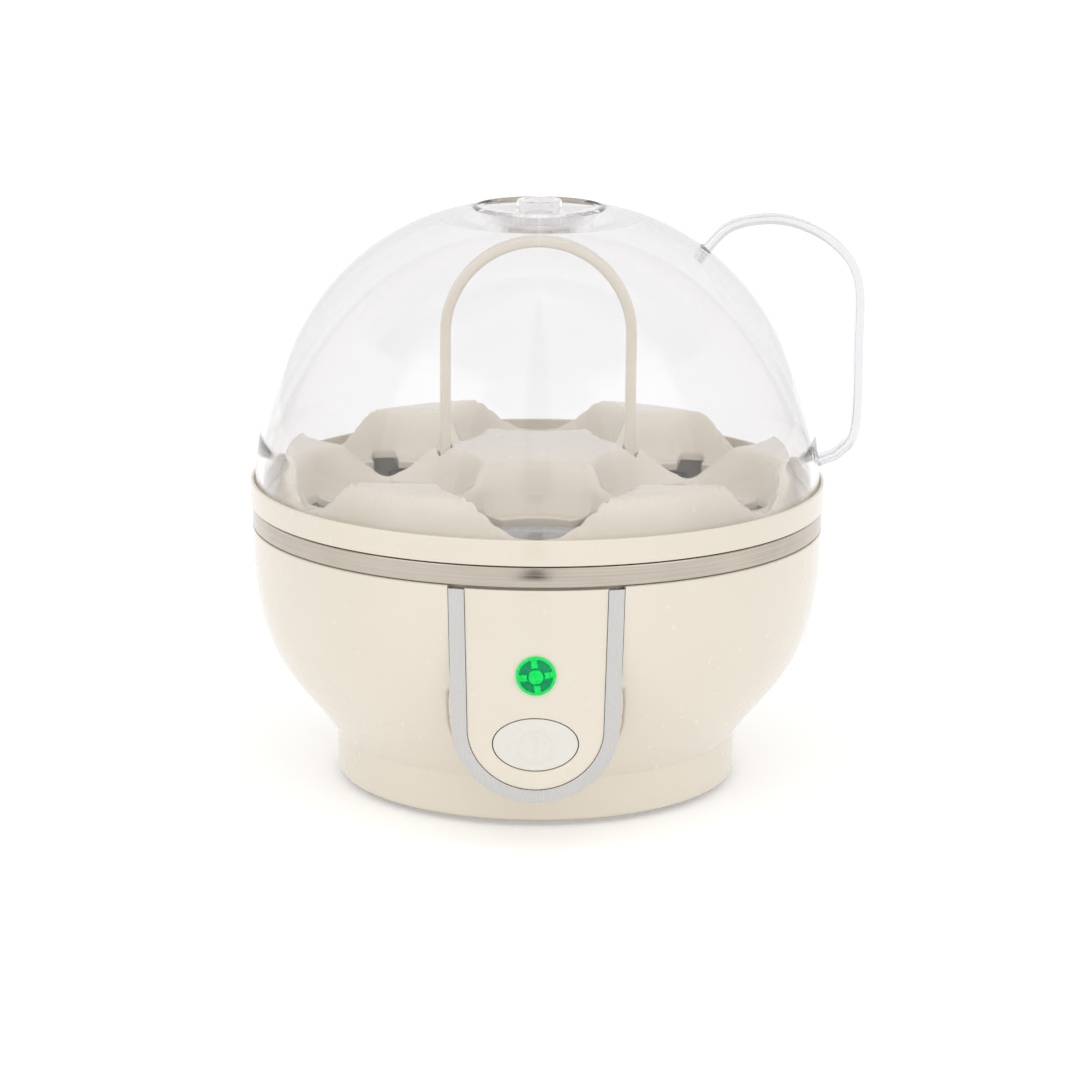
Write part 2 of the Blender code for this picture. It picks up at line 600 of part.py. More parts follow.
def switch():
    bracket_back = BRACKET_FRONT + BRACKET_THICKNESS
    stem_end = -BUTTON_BACK + 1.2 + STEM_LENGTH
    box("switch_plunger", (-2.2, stem_end + FIT, BUTTON_HEIGHT - 2.2),
        (2.2, bracket_back + 7, BUTTON_HEIGHT + 2.2), "dark_plastic")
    low = BUTTON_HEIGHT - 8
    bracket = box("switch_bracket", (-BUTTON_HALF_WIDTH - 1.5, BRACKET_FRONT, low),
                  (BUTTON_HALF_WIDTH + 1.5, bracket_back, POST_HEIGHT + 2.6), "natural_plastic")
    opening = box("bracket_opening", (-4, BRACKET_FRONT - 1, BUTTON_HEIGHT - 4),
                  (4, bracket_back + 1, BUTTON_HEIGHT + 4), "natural_plastic")
    boolean(bracket, opening, "DIFFERENCE")
    body = box("switch_body", (-9, bracket_back + FIT, BUTTON_HEIGHT - 7),
               (9, bracket_back + 13, BUTTON_HEIGHT + 7), "dark_plastic")
    bore = box("switch_bore", (-2.6, bracket_back - 1, BUTTON_HEIGHT - 2.6),
               (2.6, bracket_back + 10.5, BUTTON_HEIGHT + 2.6), "dark_plastic")
    boolean(body, bore, "DIFFERENCE")
    for i, side in enumerate((-1, 1)):
        centre = (side * POST_SPREAD, bracket_back + FIT, POST_HEIGHT)
        hole = solid_rod(SMALL_SCREW_RADIUS + FIT, -4, 4)
        boolean(bracket, turned(f"bracket_hole_{i}", hole, "natural_plastic", 8, centre, "Y"), "DIFFERENCE")
        screw(f"switch_screw_{i + 1}", centre, 6.5, SMALL_SCREW_RADIUS, 2.2, 1.3, "Y", point_up=False)


def switch_spring():
    """The return spring, coiled round the button's stem between its flange and the bracket."""
    start = -BUTTON_BACK + 1.2 + FIT + 0.35
    end = BRACKET_FRONT - FIT - 0.35
    turns, radius = 3, 4.9
    path = []
    for i in range(turns * 12 + 1):
        share = i / (turns * 12)
        angle = 2 * pi * turns * share
        along = start + (end - start) * share
        path.append((radius * cos(angle), along, BUTTON_HEIGHT + radius * sin(angle)))
    tube("switch_spring", path, 0.35, "zinc_steel", 0)


# ---------------------------------------------------------------- deck, heating plate and heater

def deck_ring():
    flange = PLATE_FLANGE_RADIUS + FIT + 0.1
    outer = NECK_INNER - FIT
    top = SHOULDER_TOP + FIT + DECK_THICKNESS
    profile = [(flange - 5.4, DECK_SEAT), (flange, DECK_SEAT), (flange, DECK_SEAT + 5)]
    profile += [(flange + 3.5, DECK_SEAT + 5), (SHOULDER_INNER, top), (outer, top)]
    profile += [(outer, SHOULDER_TOP + FIT), (SHOULDER_INNER - 1, SHOULDER_TOP + FIT)]
    profile += [(flange + 2, DECK_SEAT + 2.6), (flange + 2, DECK_SEAT - DECK_THICKNESS)]
    profile += [(flange - 5.4, DECK_SEAT - DECK_THICKNESS)]
    deck = turned("deck_ring", profile, "cream_plastic")
    for i, angle in enumerate(SHOULDER_SCREW_ANGLES):
        centre = polar((SHOULDER_INNER + NECK_INNER) / 2, angle)
        hole = solid_rod(SCREW_RADIUS + FIT, SHOULDER_TOP - 1, SHOULDER_TOP + FIT + 2)
        boolean(deck, turned(f"deck_hole_{i}", hole, "cream_plastic", 8, centre), "DIFFERENCE")
        seat = centre + Vector((0, 0, SHOULDER_TOP - SHOULDER_THICKNESS - FIT))
        screw(f"deck_screw_{i + 1}", seat, SHOULDER_THICKNESS + FIT + 1.7)
        centre = polar(PLATE_FLANGE_RADIUS - SHIELD_SCREW_INSET, angle + 30)
        hole = solid_rod(SMALL_SCREW_RADIUS + FIT, DECK_SEAT - DECK_THICKNESS - 1, DECK_SEAT - 1)
        boolean(deck, turned(f"seat_hole_{i}", hole, "cream_plastic", 8, centre), "DIFFERENCE")
        seat = centre + Vector((0, 0, SHIELD_FLANGE_TOP - SHIELD_SHEET - FIT))
        screw(f"shield_screw_{i + 1}", seat, SHIELD_SHEET + 2 * FIT + 1.5, SMALL_SCREW_RADIUS,
              2.0, 1.2)
    return deck


def heating_plate():
    bottom, flange = PLATE_BOTTOM, PLATE_FLANGE_BOTTOM
    wall = PLATE_FLANGE_RADIUS - 7
    under = [(0, bottom), (wall - 7, bottom), (wall - 3, bottom + 1.4), (wall - 0.5, flange - 2)]
    under += [(wall + 0.6, flange), (PLATE_FLANGE_RADIUS, flange)]
    sheet = PLATE_SHEET
    over = [(PLATE_FLANGE_RADIUS, flange + sheet), (wall, flange + sheet), (wall - 1.6, flange - 1.6)]
    over += [(wall - 3.9, bottom + 2.2), (wall - 7.3, bottom + sheet), (0, bottom + sheet)]
    turned("heating_plate", under + over, "plate_steel")
    gasket = hollow_rod(wall + 1.6, PLATE_FLANGE_RADIUS - FIT, DECK_SEAT + FIT, flange - FIT)
    turned("plate_gasket", gasket, "silicone")


def heater():
    outer = ELEMENT_RING_RADIUS + ELEMENT_TUBE_RADIUS + 5
    spreader = turned("heat_spreader", hollow_rod(9.5, outer, SPREADER_BOTTOM, SPREADER_TOP), "aluminium")
    bend = 7.0
    gap_angle = degrees(atan2(ELEMENT_LEG_SPREAD + bend, ELEMENT_RING_RADIUS))
    leg_bottom = SHIELD_BOTTOM - ELEMENT_LEG_DROP
    side = []
    for angle in np.linspace(0, 80, 5).tolist():
        x = ELEMENT_LEG_SPREAD + bend * (1 - cos(radians(angle)))
        side.append((x, ELEMENT_HEIGHT - bend * (1 - sin(radians(angle)))))
    leg_y = sqrt(ELEMENT_RING_RADIUS ** 2 - ELEMENT_LEG_SPREAD ** 2)
    first = [(ELEMENT_LEG_SPREAD, leg_y, leg_bottom)]
    for x, z in side:
        first.append((x, sqrt(ELEMENT_RING_RADIUS ** 2 - x ** 2), z))
    ring = []
    for angle in np.linspace(90 - gap_angle, -270 + gap_angle, 25).tolist():
        ring.append(tuple(polar(ELEMENT_RING_RADIUS, angle, ELEMENT_HEIGHT)))
    last = [(-x, y, z) for x, y, z in reversed(first)]
    tube("heating_element", first + ring + last, ELEMENT_TUBE_RADIUS, "zinc_steel", 1)

    bar_bottom = CLAMP_BAR_TOP - CLAMP_BAR_THICKNESS
    bar = box("element_clamp", (-CLAMP_BAR_LENGTH / 2, -5, bar_bottom),
              (CLAMP_BAR_LENGTH / 2, 5, CLAMP_BAR_TOP), "zinc_steel")
    for i, x in enumerate((-20, 20)):
        for target, low, high in ((bar, bar_bottom - 1, CLAMP_BAR_TOP + 1),
                                  (spreader, SPREADER_BOTTOM - 1, SPREADER_TOP + 1)):
            hole = solid_rod(SCREW_RADIUS + FIT, low, high)
            boolean(target, turned(f"{target.name}_hole_{i}", hole, "aluminium", 8, (x, 0, 0)),
                    "DIFFERENCE")
        screw(f"element_screw_{i + 1}", (x, 0, bar_bottom - FIT), SPREADER_TOP - FIT - bar_bottom)
    body = [(0, CLAMP_BAR_TOP + FIT), (7.0, CLAMP_BAR_TOP + FIT), (8.0, CLAMP_BAR_TOP + 1.5)]
    body += [(8.0, SPREADER_TOP), (0, SPREADER_TOP)]
    turned("thermostat", body, "dark_plastic", 20)
    fuse_height = bar_bottom - FIT - 1.8
    fuse = bmesh.new()
    bmesh.ops.create_cone(fuse, cap_ends=True, segments=12, radius1=1.8, radius2=1.8, depth=22)
    fuse.transform(Matrix.Translation((0, 0, fuse_height)) @ Matrix.Rotation(radians(90), 4, "Y"))
    put_mesh("thermal_fuse", fuse, "fuse_sleeve", (0, 0, fuse_height))


EARTH_PLACE = (22.0, -18.0)


def heat_shield():
    top, bottom, sheet = SHIELD_FLANGE_TOP, SHIELD_BOTTOM, SHIELD_SHEET
    rim = PLATE_FLANGE_RADIUS + 1.5
    under = [(0, bottom - sheet), (SHIELD_RADIUS - 6, bottom - sheet), (SHIELD_RADIUS, bottom + 5)]
    under += [(SHIELD_RADIUS, top - sheet), (rim, top - sheet)]
    over = [(rim, top), (SHIELD_RADIUS - sheet, top), (SHIELD_RADIUS - sheet, bottom + 5.4)]
    over += [(SHIELD_RADIUS - 6.4, bottom), (0, bottom)]
    shield = turned("heat_shield", under + over, "aluminium")
    leg_y = sqrt(ELEMENT_RING_RADIUS ** 2 - ELEMENT_LEG_SPREAD ** 2)
    places = [(side * ELEMENT_LEG_SPREAD, leg_y, ELEMENT_TUBE_RADIUS + 1) for side in (-1, 1)]
    places.append((*EARTH_PLACE, SMALL_SCREW_RADIUS + FIT))
    for i, (x, y, radius) in enumerate(places):
        hole = solid_rod(radius, bottom - 4, bottom + 4)
        boolean(shield, turned(f"shield_hole_{i}", hole, "aluminium", 12, (x, y, 0)), "DIFFERENCE")
    for i, angle in enumerate(SHOULDER_SCREW_ANGLES):
        hole = solid_rod(SMALL_SCREW_RADIUS + FIT, top - 3, top + 2)
        centre = polar(PLATE_FLANGE_RADIUS - SHIELD_SCREW_INSET, angle + 30)
        boolean(shield, turned(f"flange_hole_{i}", hole, "aluminium", 8, centre), "DIFFERENCE")
    screw("earth_screw", (*EARTH_PLACE, bottom - sheet - FIT), 4, SMALL_SCREW_RADIUS, 2.2, 1.3)
    return shield


# ---------------------------------------------------------------- underside

COVER_RADIUS = FOOT_RADIUS - FOOT_TAPER - HOUSING_WALL - FIT - 0.1
BLOCK_HEIGHT = 10.0
CLAMP_POST_SPREAD = 8.0
CLAMP_POST_PLACE = 40.0


def bottom_cover():
    cover = turned("bottom_cover", solid_rod(COVER_RADIUS, 0, COVER_THICKNESS), "cream_plastic")
    for i in range(PAD_COUNT):
        centre = polar(FOOT_PAD_RING, 45 + 360 * i / PAD_COUNT)
        recess = solid_rod(FOOT_PAD_RADIUS + FIT, -1, 1.5)
        boolean(cover, turned(f"foot_recess_{i}", recess, "cream_plastic", 12, centre), "DIFFERENCE")
        pad = [(0, -FOOT_PAD_DROP), (FOOT_PAD_RADIUS - 1, -FOOT_PAD_DROP), (FOOT_PAD_RADIUS, 0)]
        pad += [(FOOT_PAD_RADIUS, 1.2), (0, 1.2)]
        turned(f"foot_{i + 1}", pad, "rubber", 12, centre)
    for i, angle in enumerate(BOSS_ANGLES):
        centre = polar(BOSS_RING, angle)
        head = [(0, -1), (3.3, -1), (3.3, 1.7), (SCREW_RADIUS + FIT, 1.7), (SCREW_RADIUS + FIT, 5),
                (0, 5)]
        boolean(cover, turned(f"cover_hole_{i}", head, "cream_plastic", 12, centre), "DIFFERENCE")
        screw(f"cover_screw_{i + 1}", centre + Vector((0, 0, 1.4)), 12, SCREW_RADIUS, 2.9, 1.2)
    for i in range(VENT_COUNT):
        slot = box_bmesh((16, -1.2, -1), (30, 1.2, COVER_THICKNESS + 1))
        slot.transform(Matrix.Rotation(radians(360 * i / VENT_COUNT), 4, "Z"))
        boolean(cover, put_mesh(f"vent_slot_{i}", slot, "cream_plastic"), "DIFFERENCE")
    for i, side in enumerate((-1, 1)):
        centre = Vector((side * CLAMP_POST_SPREAD, CLAMP_POST_PLACE, 0))
        post = solid_rod(2.6, COVER_THICKNESS - 1, COVER_THICKNESS + 5)
        boolean(cover, turned(f"clamp_post_{i}", post, "cream_plastic", 12, centre), "UNION")
        hole = solid_rod(SMALL_SCREW_RADIUS + FIT, COVER_THICKNESS, COVER_THICKNESS + 7)
        boolean(cover, turned(f"clamp_post_hole_{i}", hole, "cream_plastic", 8, centre), "DIFFERENCE")
    return cover


def cord_entry():
    flange = FOOT_RADIUS + FIT
    wall = GLAND_BORE_RADIUS + 0.8
    inner_end = COVER_RADIUS + 0.5
    profile = [(GLAND_BORE_RADIUS, inner_end), (wall, inner_end), (wall, flange)]
    profile += [(GLAND_BORE_RADIUS + 2.4, flange), (GLAND_BORE_RADIUS + 2.0, flange + 2)]
    profile += [(GLAND_BORE_RADIUS, flange + 2)]
    turned("cord_gland", profile, "dark_plastic", 16, (0, 0, GLAND_HEIGHT), "Y")
    low = COVER_THICKNESS + 5 + FIT
    clamp = box("cord_clamp", (-CLAMP_POST_SPREAD - 3.5, CLAMP_POST_PLACE - 3, low),
                (CLAMP_POST_SPREAD + 3.5, CLAMP_POST_PLACE + 3, low + 3), "natural_plastic")
    groove = turned("clamp_groove", solid_rod(GLAND_BORE_RADIUS, -5, 5), "natural_plastic", 16,
                    (0, CLAMP_POST_PLACE, low - 1.4), "Y")
    boolean(clamp, groove, "DIFFERENCE")
    for i, side in enumerate((-1, 1)):
        centre = Vector((side * CLAMP_POST_SPREAD, CLAMP_POST_PLACE, low + 3 + FIT))
        hole = solid_rod(SMALL_SCREW_RADIUS + FIT, -5, 2)
        boolean(clamp, turned(f"clamp_hole_{i}", hole, "natural_plastic", 8, centre), "DIFFERENCE")
        screw(f"clamp_screw_{i + 1}", centre, 7, SMALL_SCREW_RADIUS, 2.2, 1.3, point_up=False)
    low = COVER_THICKNESS + FIT
    block = box("terminal_block", (-12, 14, low), (12, 24, low + BLOCK_HEIGHT), "natural_plastic")
    for i, x in enumerate((-8, 0, 8)):
        bore = turned(f"block_bore_{i}", solid_rod(1.6, -7, 7), "natural_plastic", 8, (x, 19, 8), "Y")
        boolean(block, bore, "DIFFERENCE")


def wires():
    """Insulated leads inside the base; each ends just short of the terminal it serves."""
    switch_back = BRACKET_FRONT + BRACKET_THICKNESS + 13 + 3 * FIT
    leg_y = sqrt(ELEMENT_RING_RADIUS ** 2 - ELEMENT_LEG_SPREAD ** 2)
    leg_end = SHIELD_BOTTOM - ELEMENT_LEG_DROP - 3 * FIT
    load = [(5, switch_back, BUTTON_HEIGHT), (5, switch_back + 5, BUTTON_HEIGHT),
            (16, -25, 25), (20, 5, 24)]
    load += [(8, 22, 24), (-6, leg_y - 2, leg_end - 8), (-ELEMENT_LEG_SPREAD, leg_y, leg_end)]
    live = [(-8, 13.2, 8), (-8, 10, 8), (-10, -8, 11), (-11, -30, 18), (-5, switch_back + 4, BUTTON_HEIGHT)]
    live += [(-5, switch_back, BUTTON_HEIGHT)]
    neutral = [(0, 24.8, 8), (0, 27, 8), (5, 31, 14), (8, leg_y + 1, 22)]
    neutral.append((ELEMENT_LEG_SPREAD, leg_y, leg_end))
    earth = [(8, 13.2, 8), (8, 10, 8), (14, 0, 14), (22, -14, 24)]
    earth += [(*EARTH_PLACE, SHIELD_BOTTOM - SHIELD_SHEET - 4 * FIT - 1.3)]
    routes = {"wire_load": (load, "wire_red"), "wire_live": (live, "wire_brown")}
    routes.update({"wire_neutral": (neutral, "wire_blue"), "wire_earth": (earth, "wire_green")})
    for name, (route, colour) in routes.items():
        tube(name, smooth_path(route, 3), 1.1, colour, 1)


# ---------------------------------------------------------------- egg tray

def ease(share):
    share = min(max(share, 0.0), 1.0)
    return share * share * (3 - 2 * share)


def tray_surface(x, y):
    """Height of the tray's upper side: flat cups with rounded hills between them."""
    distance = min(hypot(x - cup.x, y - cup.y) for cup in cup_centres())
    hill = HILL_HEIGHT * ease((distance - CUP_WALL_START) / CUP_WALL_RUN)
    edge = BOWL_RADIUS - 10.2
    return TRAY_FLOOR + hill * (1 - ease((hypot(x, y) - edge) / 4))


def egg_tray():
    skirt_outer = NECK_INNER - FIT - 0.6
    sheet_edge = skirt_outer - 2
    shares = (0, 0.16, 0.3, 0.42, 0.54, 0.66, 0.78, 0.88, 0.95)
    rings = [share * sheet_edge for share in shares]
    rim_inner = RIM_RADIUS - RIM_LIP
    skirt_bottom = SHOULDER_TOP + FIT + DECK_THICKNESS + FIT
    rim = [(sheet_edge, TRAY_FLOOR), (rim_inner, TRAY_FLOOR), (rim_inner, RIM_TOP), (RIM_RADIUS, RIM_TOP)]
    rim += [(RIM_RADIUS, RIM_BOTTOM + 0.4), (RIM_RADIUS - 1, RIM_BOTTOM), (skirt_outer, RIM_BOTTOM)]
    rim += [(skirt_outer, skirt_bottom), (sheet_edge, skirt_bottom), (sheet_edge, RIM_BOTTOM)]
    angles = [2 * pi * i / SEGMENTS for i in range(SEGMENTS)]

    def row(radius, drop):
        if radius == 0:
            return [(0, 0, tray_surface(0, 0) - drop)]
        points = [(radius * cos(a), radius * sin(a)) for a in angles]
        return [(x, y, tray_surface(x, y) - drop) for x, y in points]

    rows = [row(radius, 0) for radius in rings]
    rows += [[(radius * cos(a), radius * sin(a), height) for a in angles] for radius, height in rim]
    rows += [row(radius, TRAY_SHEET) for radius in reversed(rings)]
    bm = bmesh.new()
    ring_surface(bm, rows, close=False)
    tray = put_mesh("egg_tray", bm, "cream_plastic", largest_face=3)
    for i, centre in enumerate(cup_centres()):
        outward = degrees(atan2(centre.y, centre.x))
        hole = bmesh.new()
        outline = []
        for step in range(CUP_FACETS):
            angle = 360 * (step + 0.37) / CUP_FACETS
            notch = min(abs((angle - side + 180) % 360 - 180) for side in (50, 130, 230, 310)) < 12
            reach = CUP_NOTCH_RADIUS if notch else CUP_HOLE_RADIUS
            outline.append(centre + polar(reach, outward + angle))
        low = [hole.verts.new((p.x, p.y, RIM_BOTTOM - 8)) for p in outline]
        high = [hole.verts.new((p.x, p.y, RIM_TOP + 20)) for p in outline]
        for j in range(CUP_FACETS):
            k = (j + 1) % CUP_FACETS
            hole.faces.new((low[j], low[k], high[k], high[j]))
        hole.faces.new(low)
        hole.faces.new(high)
        boolean(tray, put_mesh(f"cup_hole_{i}", hole, "cream_plastic"), "DIFFERENCE")
    for i, side in enumerate((-1, 1)):
        x = side * ARCH_HALF_WIDTH
        slot = box(f"arch_slot_{i}", (x - ARCH_THICKNESS / 2 - FIT, -ARCH_WIDTH / 2 - FIT, TRAY_FLOOR - 4),
                   (x + ARCH_THICKNESS / 2 + FIT, ARCH_WIDTH / 2 + FIT, RIM_TOP + 20), "cream_plastic")
        boolean(tray, slot, "DIFFERENCE")
    return tray


def tray_handle():
    """The lifting arch: two legs from the slots in the tray joined by a half circle."""
    low = tray_surface(ARCH_HALF_WIDTH, 0) - TRAY_SHEET - 3
    spring = ARCH_TOP - ARCH_THICKNESS / 2 - ARCH_HALF_WIDTH
    path = [(-ARCH_HALF_WIDTH, low)]
    for angle in np.linspace(180, 0, 19).tolist():
        arc = polar(ARCH_HALF_WIDTH, angle)
        path.append((arc.x, spring + arc.y))
    path.append((ARCH_HALF_WIDTH, low))
    strap("tray_handle", path, ARCH_THICKNESS, ARCH_WIDTH, "cream_plastic")


# ---------------------------------------------------------------- lid

def lid_profile():
    outer = [(LID_RADIUS, LID_BOTTOM), (LID_RADIUS, LID_SPRING)]
    for share in (0.15, 0.35, 0.53, 0.68, 0.8, 0.89, 0.94):
        height = share * LID_HEIGHT
        outer.append((dome_radius(height, LID_RADIUS), LID_SPRING + height))
    rim = LID_PEAK - 1.0
    floor = rim - LID_DISH_DEPTH
    vent = LID_VENT_RADIUS
    dish = [(LID_DISH_RADIUS + 1.5, rim - 0.4), (LID_DISH_RADIUS, rim), (LID_DISH_RADIUS - 1.2, rim - 0.6)]
    dish += [(LID_DISH_RADIUS - 2, floor), (vent + 2.6, floor), (vent + 2.2, rim + 1.2)]
    dish += [(vent + 0.6, rim + 1.6), (vent, rim + 1.2), (vent, floor - LID_WALL)]
    under = [(LID_DISH_RADIUS - 0.6, floor - LID_WALL), (LID_DISH_RADIUS + 0.8, rim - 0.6 - LID_WALL)]
    inner_radius = LID_RADIUS - LID_WALL
    step = RIM_TOP + LID_SKIRT_HEIGHT
    inner = []
    for share in (0.92, 0.83, 0.7, 0.53, 0.34):
        height = share * (LID_HEIGHT - LID_WALL)
        radius = dome_radius(height * LID_HEIGHT / (LID_HEIGHT - LID_WALL), inner_radius)
        inner.append((radius, LID_SPRING + height))
    for height, wall in ((step, LID_WALL), (step - 1, LID_SKIRT_WALL), (LID_SPRING, LID_SKIRT_WALL)):
        inner.append((dome_radius(height - LID_SPRING, LID_RADIUS) - wall, height))
    inner.append((LID_RADIUS - LID_SKIRT_WALL, LID_BOTTOM))
    return outer + dish + under + inner


def lid_handle_path():
    """Middle line of the clear strap, from its upper hook to its lower one."""
    reach = LID_HANDLE_REACH
    upper, lower = RIM_TOP + LID_HANDLE_UPPER, RIM_TOP + LID_HANDLE_LOWER
    top_in = dome_radius(upper - LID_SPRING, LID_RADIUS)
    low_in = dome_radius(lower - LID_SPRING, LID_RADIUS)
    points = [(top_in - 2.6, upper - 3.4), (top_in, upper), (top_in + 7.6, upper + 6.7)]
    points += [(reach - 21.6, upper + 8.2), (reach - 8.5, upper + 2.7), (reach - 0.8, upper - 7.6)]
    points += [(reach, upper - 26.7), (reach - 0.4, lower + 9.4), (reach - 4.6, lower + 2.4)]
    points += [(low_in + 0.8, lower), (low_in - 3.4, lower - 1.4)]
    return smooth_path(points, 3)


def lid():
    dome = turned("lid_dome", lid_profile(), "clear_plastic")
    path = lid_handle_path()
    for name, ends in (("upper_hook_slot", path[:6]), ("lower_hook_slot", path[-5:])):
        first, last = Vector(ends[0]), Vector(ends[-1])
        if name == "upper_hook_slot":
            ends = [tuple(first + (first - Vector(ends[1])).normalized() * 2), *ends]
        else:
            ends = [*ends, tuple(last + (last - Vector(ends[-2])).normalized() * 2)]
        slot = strap(name, ends, LID_HANDLE_THICKNESS + 2 * FIT, LID_HANDLE_WIDTH + 2 * FIT,
                     "clear_plastic")
        boolean(dome, slot, "DIFFERENCE")
    strap("lid_handle", path, LID_HANDLE_THICKNESS, LID_HANDLE_WIDTH, "clear_plastic")


# ---------------------------------------------------------------- the whole cooker

clear_scene()
base_housing()
steel_band()
panel_trim()
front_panel()
indicator()
power_button()
switch()
switch_spring()
deck_ring()
heating_plate()
heater()
heat_shield()
bottom_cover()
cord_entry()
wires()
egg_tray()
tray_handle()
lid()
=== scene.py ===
"""The looks of a six-egg steam cooker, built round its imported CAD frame.

Lengths are in millimetres, in the frame's axes: +Z is up and the front, with the lamp and the
button, faces -Y. finish_piece() turns them into metres.
"""

import json
from math import acos, asin, atan2, cos, degrees, exp, hypot, log, pi, radians, sin, sqrt, tan

import bmesh
import bpy
import numpy as np
from mathutils import Matrix, Vector
from mathutils.geometry import delaunay_2d_cdt


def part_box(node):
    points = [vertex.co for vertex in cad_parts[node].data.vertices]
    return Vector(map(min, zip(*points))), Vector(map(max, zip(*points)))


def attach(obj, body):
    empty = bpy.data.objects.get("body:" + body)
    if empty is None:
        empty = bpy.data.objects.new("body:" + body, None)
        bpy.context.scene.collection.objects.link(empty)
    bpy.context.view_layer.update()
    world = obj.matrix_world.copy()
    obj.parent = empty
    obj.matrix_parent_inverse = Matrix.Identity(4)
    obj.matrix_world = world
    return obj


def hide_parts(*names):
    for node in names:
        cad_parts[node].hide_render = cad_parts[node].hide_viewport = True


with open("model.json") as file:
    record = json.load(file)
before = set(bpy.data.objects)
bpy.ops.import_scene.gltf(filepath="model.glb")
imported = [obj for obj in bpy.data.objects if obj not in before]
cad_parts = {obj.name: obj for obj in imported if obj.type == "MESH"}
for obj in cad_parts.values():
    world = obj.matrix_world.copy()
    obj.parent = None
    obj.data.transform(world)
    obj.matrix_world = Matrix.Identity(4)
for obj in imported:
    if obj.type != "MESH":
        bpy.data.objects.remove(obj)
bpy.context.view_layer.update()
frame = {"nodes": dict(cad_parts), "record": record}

MM = 0.001
GAP = 0.3              # clearance between pieces that touch or nest
ROUND = 176            # facets round a large turned piece
SMALL_ROUND = 48       # facets round a small one


def box(node):
    """Lowest and highest corner of a CAD node, in millimetres."""
    low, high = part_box(node)
    return low / MM, high / MM


# ---------------- sizes, read from the frame

BAND_LOW, BAND_HIGH = box("steel_band")
BOWL_RADIUS = BAND_HIGH.x
BAND_SHEET = 0.7
SEAM = BAND_LOW.z - GAP
NECK_OUTER = BOWL_RADIUS - BAND_SHEET - GAP
NECK_INNER = NECK_OUTER - 2.3
SHELF_INNER = NECK_INNER - 5.4     # inner edge of the shelf that carries the deck
FOOT_RADIUS = box("bottom_cover")[1].x + 3.8
FOOT_HEIGHT = 12.0
FLARE = Vector((11.2, 17.5))       # first handle of the bowl's curve, from the foot
BELLY_UP = 19.3                    # height above the foot where the side turns upright
PAD_COUNT = 4
SCREW_COUNT = 3
HOUSING_WALL = 2.0
SLOT_WALL = 0.2                    # the slot's walls are thin, so that they stay behind the bowl's side

PANEL_TOP_WIDTH = 23.2             # half width of the front slot under the band
PANEL_LOW_WIDTH = 22.3             # half width where its round end starts
PANEL_ROUND_HEIGHT = 33.0
PANEL_ROUND_DROP = 20.3
TRIM_TOP = box("panel_trim")[1].z
TRIM_FACE = BOWL_RADIUS + 0.1
TRIM_THICKNESS = 2.1
TRIM_WIDTH = 4.2
TRIM_NARROWING = 0.7               # the trim is this much narrower at the bottom
SEAM_LINE = 0.12                   # visible gap round the trim and the panel
POCKET_FLOOR = TRIM_FACE - TRIM_THICKNESS - GAP
PANEL_FACE = BOWL_RADIUS - 0.2
PANEL_THICKNESS = 1.8
PANEL_TOP = box("front_panel")[1].z

LENS_LOW, LENS_HIGH = box("indicator_lens")
LENS_RADIUS = LENS_HIGH.x
LENS_HEIGHT = (LENS_LOW.z + LENS_HIGH.z) / 2
BUTTON_LOW, BUTTON_HIGH = box("power_button")
BUTTON_FLANGE = 1.5
BUTTON_HALF_WIDTH = 11.2
BUTTON_HALF_HEIGHT = (BUTTON_HIGH.z - BUTTON_LOW.z) / 2 - BUTTON_FLANGE
BUTTON_HEIGHT = (BUTTON_HIGH.z + BUTTON_LOW.z) / 2

TRAY_LOW, TRAY_HIGH = box("egg_tray")
RIM_RADIUS = TRAY_HIGH.x
RIM_BOTTOM = BAND_HIGH.z + GAP
RIM_TOP = RIM_BOTTOM + 7.0
RIM_LIP = 0.9
TRAY_SHEET = 2.2
TRAY_FLOOR = RIM_BOTTOM + TRAY_SHEET
CUP_RING = 48.0
CUP_COUNT = 6
CUP_HOLE_RADIUS = 15.5
CUP_NOTCH_RADIUS = 22.0
CUP_NOTCHES = (50, 130, 230, 310)  # directions of the notches, from the outward one
CUP_WALL_START = 20.5
CUP_WALL_RUN = 6.5
RIDGE_SOFTNESS = 1.2               # rounds the ridges where two cups' walls meet
HILL_HEIGHT = 13.0
ARCH_LOW, ARCH_HIGH = box("tray_handle")
ARCH_THICKNESS = 3.0
ARCH_WIDTH = ARCH_HIGH.y - ARCH_LOW.y
ARCH_HALF_WIDTH = ARCH_HIGH.x - ARCH_THICKNESS / 2

DOME_LOW, DOME_HIGH = box("lid_dome")
LID_RADIUS = DOME_HIGH.x
LID_BOTTOM = DOME_LOW.z
LID_SPRING = RIM_TOP - 2.0
LID_HEIGHT = 79.1
LID_WALL = 1.8
LID_SKIRT_WALL = 2.2
LID_STEP = RIM_TOP + 13.0          # level of the step inside the lid's wall
LID_STEP_RUN = 5.0
DOME_POWER_UP = 1.8835             # powers of height and radius in the dome's curve
DOME_POWER_OUT = 2.3559
DISH_RADIUS = 17.3
DISH_DEPTH = 4.3
VENT_TOP = DOME_HIGH.z
DISH_RIM = VENT_TOP - 1.6
VENT_RADIUS = 4.0
STRAP_THICKNESS = 2.4
STRAP_WIDTH = 6.5
STRAP_REACH = box("lid_handle")[1].x - STRAP_THICKNESS / 2
STRAP_UPPER = RIM_TOP + 64.3       # levels of the strap's two hooks
STRAP_LOWER = RIM_TOP + 5.1


# ---------------- materials

MOULD_CLOUD = 35.0     # noise scales of moulded plastic: its clouds and its fine skin
MOULD_GRAIN = 2600.0
CLOUD_SHARE = 0.35     # how much the clouds count, next to the lines, on brushed metal


